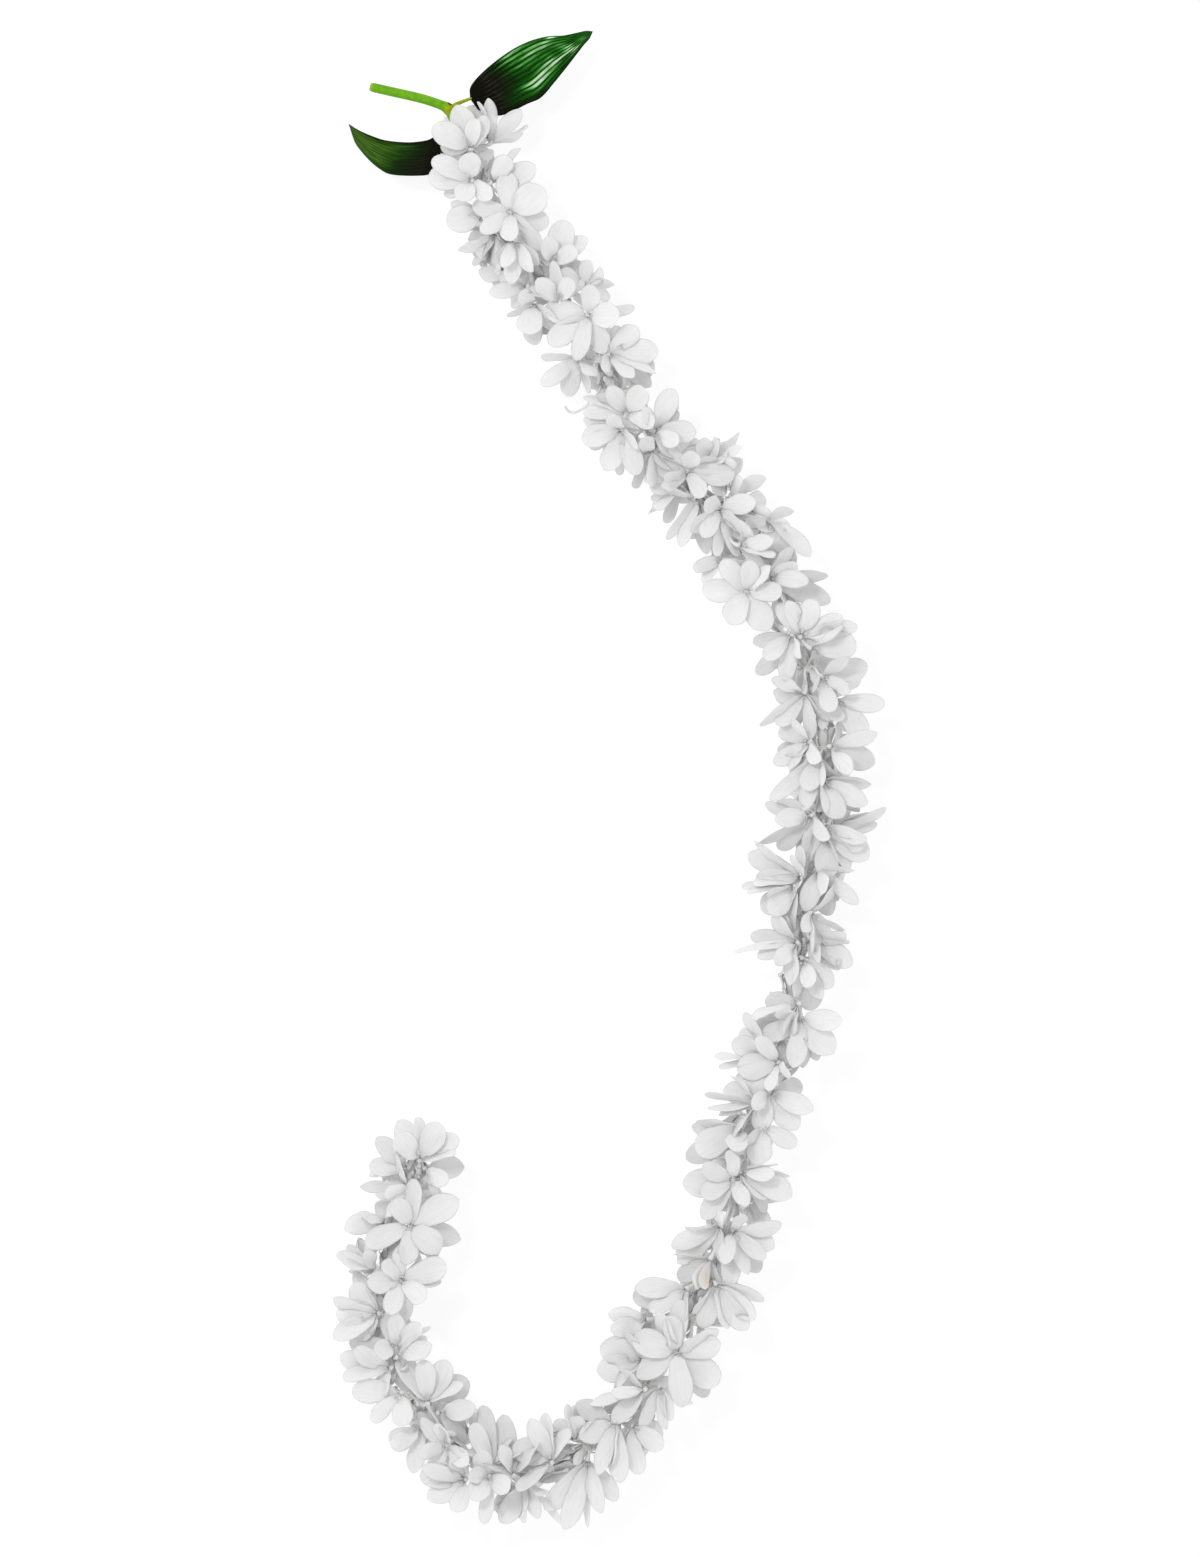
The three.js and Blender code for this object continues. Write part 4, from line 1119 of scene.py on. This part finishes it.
def add_loose_petals(shape, floret, draw, taken):
    """The petals placed round a floret only: a ring, a few more behind it, and two rings over a
    pressed floret. One is left out where it would hide what the picture shows."""
    neck, facing = floret["neck"], floret["facing"]
    if floret["pressed"]:
        opening = PRESSED_RING_OPENING
    else:
        first, full = FACING_UP_TILTS
        opening = draw.uniform(*RING_OPENING)
        opening += FACING_UP_OPENING * smooth((first - floret["tilt"]) / (first - full))
    size = UNDER_SIZE if floret["under"] else draw.uniform(*UPPER_SIZE)
    spin, behind = wobble(floret["index"], 1) * 180, draw.uniform(0, 360)
    apart = 360 / PETALS_ROUND
    rings = [(spin + apart * k, 0) for k in range(PETALS_ROUND)]
    rings += [(behind + 360 / SECOND_RING * k, 1) for k in range(SECOND_RING)]
    if floret["pressed"]:
        for ring in OVER_PRESSED:
            rings += [(spin + apart / 2 + apart * k, ring) for k in range(PETALS_ROUND)]
    for direction, ring in rings:
        direction += draw.uniform(*VARIED_DIRECTION)
        if ring in OVER_PRESSED:
            form = loose_form(draw, draw.uniform(*OVER_OPENING), size * UNDER_SIZE)
        else:
            form = loose_form(draw, min(opening + RING_OPENING_STEP * ring, MOST_OPENING), size)
        tone = draw.uniform(*LOOSE_TONE)
        way = way_out(floret, direction)
        if not stays_clear(neck, facing, way, form):
            continue
        room = min((abs((direction - other + 180) % 360 - 180) for other in taken), default=360)
        climb = (math.cos(math.radians(opening)) * facing + math.sin(math.radians(opening)) * way)[2]
        if taken and (climb > MOST_CLIMB or (ring == 0 and room < LEAST_ROOM)):
            continue
        add_petal(shape, neck - facing * RINGS_BACK[ring], facing, way, draw, form, tone)


def add_stalk_and_stamens(shape, floret, draw):
    neck, facing = floret["neck"], floret["facing"]
    foot = foot_of(neck, floret["bunch"])
    outward = unit(foot - bunch_place(floret["bunch"])[0])
    reach = np.linalg.norm(neck - foot)
    at_foot, at_neck = STALK_BENDS
    path = bezier(
        foot - outward * STALK_SUNK, foot + outward * reach * at_foot,
        neck - facing * reach * at_neck, neck, len(STALK_SWELLING),
    )
    add_tube(shape, settle(path, STALK_RADIUS), STALK_RADIUS * STALK_SWELLING, 6, "stalk")
    for k in range(STAMENS):
        side = way_out(floret, 360 / STAMENS * k + draw.uniform(*VARIED_STAMEN))
        way = unit(facing + side * draw.uniform(*STAMEN_LEAN))
        path = neck + np.outer(STAMEN_SHARES * draw.uniform(*STAMEN_LENGTH), way)
        add_tube(shape, settle(path, max(STAMEN_RADII)), STAMEN_RADII, 5, "stamen")


# ---- Bunches ----
BUNCH_SEED = 5000
WINDING_RADII = (2.75, 3.15)  # of the two layers of thread round a bunch
WINDING_TURNS = 4.5  # of the inner layer; the outer one has one turn fewer
WINDING_PITCH = 2.3 * THREAD_RADIUS
BUNCH_TURN = 1.7  # radians from where one bunch's thread starts to where the next one's does
BRACTS = 11  # small scale leaves round the core of each bunch
BRACT_SIZE = 0.62  # beside a usual petal
BRACT_HALF = (2.0, 3.4)  # half its width
VARIED_BRACT = (-0.3, 0.3)  # of the way round to the next one
BRACT_OPENING = (6, 42)  # degrees from the cord
# painted shade: greyer than the petals, standing for the shade in the core of each bunch
BRACT_TONE = (0.45, 0.8)
BUDS = 5  # small pale buds on thin stalks round each bunch
BUD_RADIUS = 0.9  # how far it stands out round its stalk
BUD_STALK = 0.45  # its radius
BUD_SLIDE = (6, 12)  # along the cord, from the foot of its stalk
BUD_REACH = (3.5, 6.5)  # out from the cord
BUD_FOOT = (2.2, 5.5)  # its stalk leaves the binding here and runs straight out to there
BUD_ARRIVES = 0.4  # share of its slide that the stalk runs along the cord at its end
VARIED_BUD = (-0.4, 0.4)  # of the way round to the next one
BUD_POINTS = 12  # along a bud and its stalk
BUD_AT = 0.9  # share of their length where the bud is broadest
BUD_SPREAD = 0.09  # share of their length over which it swells
STRAY_POINTS = 24  # along the withered stalk
STRAY_TAPER = (0.8, 1.25)  # from its foot to its end, as shares of its radius
STRAY_BUNCH = round((nearest_distance(from_picture(STRAY_STALK[0])) - FIRST_BUNCH) / BUNCH_SPACING)


def winding(centre, along, radius, turns, pitch, phase):
    """The course of a thread wound round a place on the cord."""
    steps = 12  # in one turn
    level = unit(np.cross(along, UP))
    upward = np.cross(level, along)
    t = np.arange(int(turns * steps) + 1) / steps
    angle = t * 2 * math.pi + phase
    slide = (t - turns / 2) * pitch
    return (
        centre + np.outer(slide, along)
        + radius * (np.outer(np.cos(angle), level) + np.outer(np.sin(angle), upward))
    )


def add_bracts(shape, centre, along, draw):
    for k in range(BRACTS):
        way = round_cord(along, 2 * math.pi * (k + draw.uniform(*VARIED_BRACT)) / BRACTS)
        facing = along * (1 if k % 2 else -1)
        form = loose_form(draw, draw.uniform(*BRACT_OPENING), BRACT_SIZE)
        form["half"] = draw.uniform(*BRACT_HALF)
        tone = draw.uniform(*BRACT_TONE)
        add_petal(shape, centre + way * CORD_RADIUS, facing, way, draw, form, tone)


def add_buds(shape, centre, along, draw, turn):
    swelling = np.exp(-((np.linspace(0, 1, BUD_POINTS) - BUD_AT) / BUD_SPREAD) ** 2)
    for k in range(BUDS):
        way = round_cord(along, 2 * math.pi * (k + draw.uniform(*VARIED_BUD)) / BUDS + turn)
        slide = along * draw.uniform(*BUD_SLIDE) * (1 if k % 2 else -1)
        end = centre + way * draw.uniform(*BUD_REACH) + slide
        foot, leave = (centre + way * distance for distance in BUD_FOOT)
        path = bezier(foot, leave, end - slide * BUD_ARRIVES, end, BUD_POINTS)
        add_tube(shape, path, BUD_STALK + BUD_RADIUS * swelling, 7, "stalk")


def build_bunch(bunch):
    shape = Shape()
    for floret in florets:
        if floret["bunch"] == bunch:
            draw = random.Random(FLORET_SEED + floret["index"])
            taken = add_aimed_petals(shape, floret, draw)
            add_loose_petals(shape, floret, draw, taken)
            add_stalk_and_stamens(shape, floret, draw)
    centre, along, _ = bunch_place(bunch)
    for lap, radius in enumerate(WINDING_RADII):
        phase = bunch * BUNCH_TURN + lap
        path = winding(centre, along, radius, WINDING_TURNS - lap, WINDING_PITCH, phase)
        add_tube(shape, path, THREAD_RADIUS, 5, "thread")
    if bunch == STRAY_BUNCH:
        stray = Course([from_picture(p) for p in STRAY_STALK], 200).spread(STRAY_POINTS)
        add_tube(shape, stray, STRAY_RADIUS * np.linspace(*STRAY_TAPER, STRAY_POINTS), 6, "stalk")
    draw = random.Random(BUNCH_SEED + bunch)
    add_bracts(shape, centre, along, draw)
    add_buds(shape, centre, along, draw, bunch)
    number = f"{bunch + 1:02d}"
    shape.build(
        f"florets_{number}", ["petal", "stalk", "stamen", "thread"], "petal_mm",
        [f"floret_bunch_{number}"],
    )


for number in range(BUNCH_COUNT):
    build_bunch(number)


# ---- Cord, knot and lashing ----
YARNS = 3
YARN_PITCH = 9.0  # one turn of the cord's yarns
YARN_STEPS = 8  # in one turn
YARN_OFFSET = 0.58  # from the cord's middle to a yarn's
YARN_RADIUS = 0.62
BINDING_RADIUS = 0.45  # of the thread of the knot and the lashing
# The knot's two windings: radius, turns, pitch, where it starts, how far it tips up.
KNOT_WINDINGS = [(2.1, 3.5, 0.9, 0.4, 0.0), (2.7, 1.6, 1.1, 2.0, 0.5)]
LASHING_FROM = 1.5  # from the start of the cord
LASHING_LENGTH = 5.0
LASHING_TURNS = 6
LASHING_STEPS = 20  # in one turn
LASHING_RADIUS = STEM_RADIUS + GAP + BINDING_RADIUS
LASHING_SLACK = 0.5  # how much higher the turns run below, as the petiole is thin


def build_cord():
    shape = Shape()
    count = int(cord.length / YARN_PITCH * YARN_STEPS)
    line = cord.spread(count)
    along = np.gradient(line, axis=0)
    along /= np.linalg.norm(along, axis=1)[:, None]
    side = np.cross(UP, along)
    turn = np.arange(count) / YARN_STEPS * 2 * math.pi
    for yarn in range(YARNS):
        angle = turn + yarn * 2 * math.pi / YARNS
        offset = YARN_OFFSET * (np.cos(angle)[:, None] * side + np.sin(angle)[:, None] * UP)
        add_tube(shape, line + offset, YARN_RADIUS, 6, "cord")
    shape.build("core_cord_yarns", ["cord"], "place", ["core_cord"])


def build_knot():
    shape = Shape()
    centre, along, _ = cord.place(cord.length - KNOT_FROM_END)
    for radius, turns, pitch, phase, tip_up in KNOT_WINDINGS:
        path = winding(centre, unit(along + tip_up * UP), radius, turns, pitch, phase)
        add_tube(shape, path, BINDING_RADIUS, 6, "thread")
    shape.build("end_knot_thread", ["thread"], "place", ["end_knot"])


def build_lashing():
    """Turns round the stem's tail above the cord and the left leaf's petiole below it."""
    shape = Shape()
    centre, along, left = cord.place(LASHING_FROM + LASHING_LENGTH / 2)
    top = STEM_TAIL_HEIGHT - AXIS_HEIGHT
    bottom = PETIOLE_HEIGHT - AXIS_HEIGHT + LASHING_SLACK
    turns = np.arange(LASHING_TURNS * LASHING_STEPS + 1) / LASHING_STEPS
    angle = turns * 2 * math.pi
    slide = (turns / LASHING_TURNS - 0.5) * (LASHING_LENGTH - 2 * BINDING_RADIUS)
    height = LASHING_RADIUS * np.sin(angle) + np.where(np.sin(angle) > 0, top, bottom)
    sideways = LASHING_RADIUS * np.cos(angle)
    path = centre + np.outer(slide, along) + np.outer(sideways, left) + np.outer(height, UP)
    add_tube(shape, path, BINDING_RADIUS, 6, "thread")
    shape.build("stem_lashing_thread", ["thread"], "place", ["stem_lashing"])


build_cord()
build_knot()
build_lashing()


# ---- Stem and leaves ----
STEM_SHARE = 1.3  # the stem is drawn this much thicker than its packed core
SWELLING = 0.45  # how much thicker the stem is at its swelling, as a share of STEM_RADIUS
SWELLING_REACH = 2.6  # of the swelling, along the stem
STEM_POINTS = 60
CUT_TAPER = (0.8, 0.96)  # the first two sections at the cut end, beside the others
CUT_TONES = (1.0, 0.9)  # and their pale tones
GREEN_TONE = 0.78
SWELLING_TONE = 0.36  # how much darker the swelling is
BUD_SCALE_RADII = np.array([1.9, 1.9, 1.7, 1.45, 1.2, 0.9, 0.55, 0.2])
BUD_SCALE_COURSE = ((0, 0, 0), (-0.3, 1.6, 1.0), (-1.0, 3.0, 1.3))  # from the swelling

VEINS = 11
VEIN_NARROWNESS = 0.6  # a lower power makes the grooves at the veins narrower
LEAF_FOOT, LEAF_END = 0.18, 0.2  # shares of the length over which the folds come and go
LEAF_WAVE = 0.7  # height of the blade's long waves
LEAF_WAVING = 9.0  # radians of that wave over the length
VARIED_STRIP = 0.2  # how much the strips between the veins differ in tone
DARK_EDGE = 0.35  # share of its tone that the right edge keeps
DARK_EDGE_WIDTH = 0.14  # share of the width
LEAF_ROWS, LEAF_COLUMNS = 90, 89
LEAF_FACES, LEAF_INNER = skin_faces(LEAF_ROWS, LEAF_COLUMNS)
PETIOLE_POINTS = 20
PETIOLE_RADII = np.linspace(1.1, 0.65, PETIOLE_POINTS)


def build_stem():
    """The stem with its pale cut end, its swelling, and the bud scale that stands there."""
    shape = Shape()
    path = Course([from_picture(p) for p in STEM_COURSE]).spread(STEM_POINTS)
    swelling = from_picture(STEM_NODE)
    nearness = np.exp(-(np.linalg.norm(path - swelling, axis=1) / SWELLING_REACH) ** 2)
    radii = STEM_RADIUS * (STEM_SHARE + SWELLING * nearness)
    radii[:2] *= CUT_TAPER
    tones = GREEN_TONE - SWELLING_TONE * nearness
    tones[:2] = CUT_TONES
    add_tube(shape, path, radii, 16, "stem", tones)
    count = len(BUD_SCALE_RADII)
    scale = Course([swelling + np.array(p) for p in BUD_SCALE_COURSE], 50).spread(count)
    add_tube(shape, scale, BUD_SCALE_RADII, 10, "stem", np.linspace(0.3, 0.0, count))
    shape.build("cut_stem", ["stem"], "place", ["stem"])


def edge_by_axis(points, share):
    """Points of one edge of a blade at given shares of the way from its foot to its tip."""
    edge = Course(points, 400).spread(400)
    axis = edge[-1] - edge[0]
    forward = np.maximum.accumulate((edge - edge[0]).dot(axis) / axis.dot(axis))
    return np.stack([np.interp(share, forward, edge[:, k]) for k in range(3)], -1)


def leaf_tones(leaf, along, across, between_veins, strip):
    """A leaf's tones run from its foot, darkened as painted shade, through the ground tone to the
    pale patches, painted highlights which show only between the veins."""
    start, full, low, high = leaf["ground"]
    tones = low + (high - low) * smooth((along - start + 0.25 * (0.5 - across)) / (full - start))
    uneven = np.array([1 + VARIED_STRIP * wobble(k, 5) for k in range(VEINS)])
    vein_dark = leaf["vein_dark"]
    tones = tones * (vein_dark + (1 - vein_dark) * between_veins * uneven[strip])
    tones = tones * (DARK_EDGE + (1 - DARK_EDGE) * smooth(across / DARK_EDGE_WIDTH))
    for n, (place_along, place_across, long, wide, strength) in enumerate(leaf["patches"]):
        ragged = np.array([wobble(k, 6 + n) for k in range(VEINS)])[strip]
        nearness = np.exp(
            -((along - place_along - 0.05 * ragged) / long) ** 2 - ((across - place_across) / wide) ** 2
        )
        tones = tones + strength * (1 + 0.5 * ragged) * nearness * between_veins ** 2
    return tones


def build_leaf(name, finish, node, leaf):
    """A thin blade between its two edges, pleated along its veins, on its petiole."""
    share = np.linspace(0, 1, LEAF_ROWS)
    left_edge, right_edge = (
        edge_by_axis([from_picture((*p, 0)) for p in leaf[key]], share)
        for key in ("left_edge", "right_edge")
    )
    heights = np.interp(share, np.linspace(0, 1, len(leaf["heights"])), leaf["heights"])
    v = np.linspace(-1, 1, LEAF_COLUMNS)
    surface = (
        left_edge[:, None] * (1 + v)[None, :, None] / 2
        + right_edge[:, None] * (1 - v)[None, :, None] / 2
    )
    half = np.linalg.norm(left_edge - right_edge, axis=1) / 2
    body_share = smooth(share / LEAF_FOOT) * smooth((1 - share) / LEAF_END)
    between_veins = np.abs(np.sin(math.pi * VEINS * (v + 1) / 2)) ** VEIN_NARROWNESS
    strip = np.minimum((VEINS * (v + 1) / 2).astype(int), VEINS - 1)
    surface[..., 2] = (
        heights[:, None]
        + leaf["bulge"] * np.outer(half, 1 - v ** 2)
        + leaf["ridge"] * np.outer(body_share, between_veins * (1 - v ** 6))
        - np.outer(half, v) * math.tan(math.radians(leaf["roll"]))
        + LEAF_WAVE * np.outer(np.sin(share * LEAF_WAVING + 0.6) * body_share, 0.4 + v ** 2)
    )
    thick = LEAF_THICKNESS / 2 * np.outer(np.ones(LEAF_ROWS), np.sqrt(1 - v ** 2))
    front, back = surface.copy(), surface.copy()
    front[..., 2] += thick
    back[..., 2] -= thick
    uvs = np.stack(np.broadcast_arrays(share[:, None], (v[None, :] + 1) / 2), -1)
    tones = leaf_tones(leaf, uvs[..., 0], uvs[..., 1], between_veins, strip)

    shape = Shape()
    shape.add(
        skin_points(front, back, LEAF_INNER), [tuple(reversed(face)) for face in LEAF_FACES], finish,
        skin_points(uvs, uvs, LEAF_INNER), skin_points(tones, tones, LEAF_INNER),
    )
    petiole = Course([from_picture(p) for p in leaf["petiole"]], 200).spread(PETIOLE_POINTS)
    petiole_tones = leaf["petiole_tone"] * (1 + 0.15 * np.sin(np.arange(PETIOLE_POINTS) * 2.3))
    add_tube(shape, petiole, PETIOLE_RADII, 10, "stem", petiole_tones)
    shape.build(name, [finish, "stem"], "leaf_share", [node])


build_stem()
build_leaf("right_leaf_blade", "right_leaf", "leaf_right", RIGHT_LEAF)
build_leaf("left_leaf_blade", "left_leaf", "leaf_left", LEFT_LEAF)


# ---- Table, light and camera; places and sizes in metres ----
TABLE_HALF = 4.0
SOFTBOX_PLACE = (-0.8, 0.8, 2.1)
SOFTBOX_AIM = (0.0, 0.0, 0.02)
SOFTBOX_SIZE = 0.45
SOFTBOX_POWER = 14.0  # watts
CAMERA_HEIGHT = 12.0
MIDDLE_HEIGHT = 0.025  # of the lei, where the picture's scale holds
SENSOR = 36.0


def build_table():
    """A sheet of matt white card, lit so strongly in the picture that it shows as pure white. Its
    own light stands for that, and its grey keeps the lei's shadows on it faint."""
    material, tree = new_material("white_table")
    finish_material(tree, {
        "Base Color": linear("#8c8c8c"), "Roughness": 0.9, "Specular IOR Level": 0.0,
        "Emission Color": linear("#ffffff"), "Emission Strength": 0.8,
    })
    mesh = bpy.data.meshes.new("table_top")
    corners = [(-1, -1), (1, -1), (1, 1), (-1, 1)]
    mesh.from_pydata([(TABLE_HALF * x, TABLE_HALF * y, 0) for x, y in corners], [], [(0, 1, 2, 3)])
    mesh.materials.append(material)
    table = bpy.data.objects.new("table_top", mesh)
    bpy.context.scene.collection.objects.link(table)


def build_studio():
    """White walls round a dark gap overhead, where the camera looks down through the ceiling, and
    one softbox from the upper left."""
    world = bpy.data.worlds.new("studio")
    world.use_nodes = True
    tree = world.node_tree
    tree.nodes.clear()
    way = add_node(tree, "ShaderNodeTexCoord").outputs["Generated"]
    upward = add_node(tree, "ShaderNodeSeparateXYZ", {"Vector": way}).outputs["Z"]
    dome = add_node(
        tree, "ShaderNodeValToRGB", {"Fac": upward},
        [(0.0, "#ffffff"), (0.86, "#ffffff"), (0.95, "#6a6a6a"), (1.0, "#303030")],
    )
    sky = add_node(tree, "ShaderNodeBackground", {"Color": dome.outputs["Color"], "Strength": 0.95})
    add_node(tree, "ShaderNodeOutputWorld", {"Surface": sky.outputs["Background"]})
    bpy.context.scene.world = world

    light = bpy.data.lights.new("key_softbox", "AREA")
    light.size, light.energy = SOFTBOX_SIZE, SOFTBOX_POWER
    softbox = bpy.data.objects.new("key_softbox", light)
    softbox.location = SOFTBOX_PLACE
    away = np.array(SOFTBOX_PLACE) - np.array(SOFTBOX_AIM)
    pitch = math.atan2(math.hypot(away[0], away[1]), away[2])
    softbox.rotation_euler = (pitch, 0, math.atan2(away[1], away[0]) + math.pi / 2)
    bpy.context.scene.collection.objects.link(softbox)


def build_camera():
    """Looks straight down on the middle of the picture."""
    view = bpy.data.cameras.new("overhead")
    view.sensor_width = SENSOR
    view.lens = SENSOR * (CAMERA_HEIGHT - MIDDLE_HEIGHT) / (PICTURE_SIZE[1] * MM_PER_PIXEL / 1000)
    camera = bpy.data.objects.new("overhead", view)
    over = from_picture((PICTURE_SIZE[0] / 2, PICTURE_SIZE[1] / 2)) / 1000
    camera.location = (over[0], over[1], CAMERA_HEIGHT)
    bpy.context.scene.collection.objects.link(camera)
    bpy.context.scene.camera = camera


build_table()
build_studio()
build_camera()
bpy.context.scene.view_settings.view_transform = "Standard"
bpy.context.scene.view_settings.look = "None"
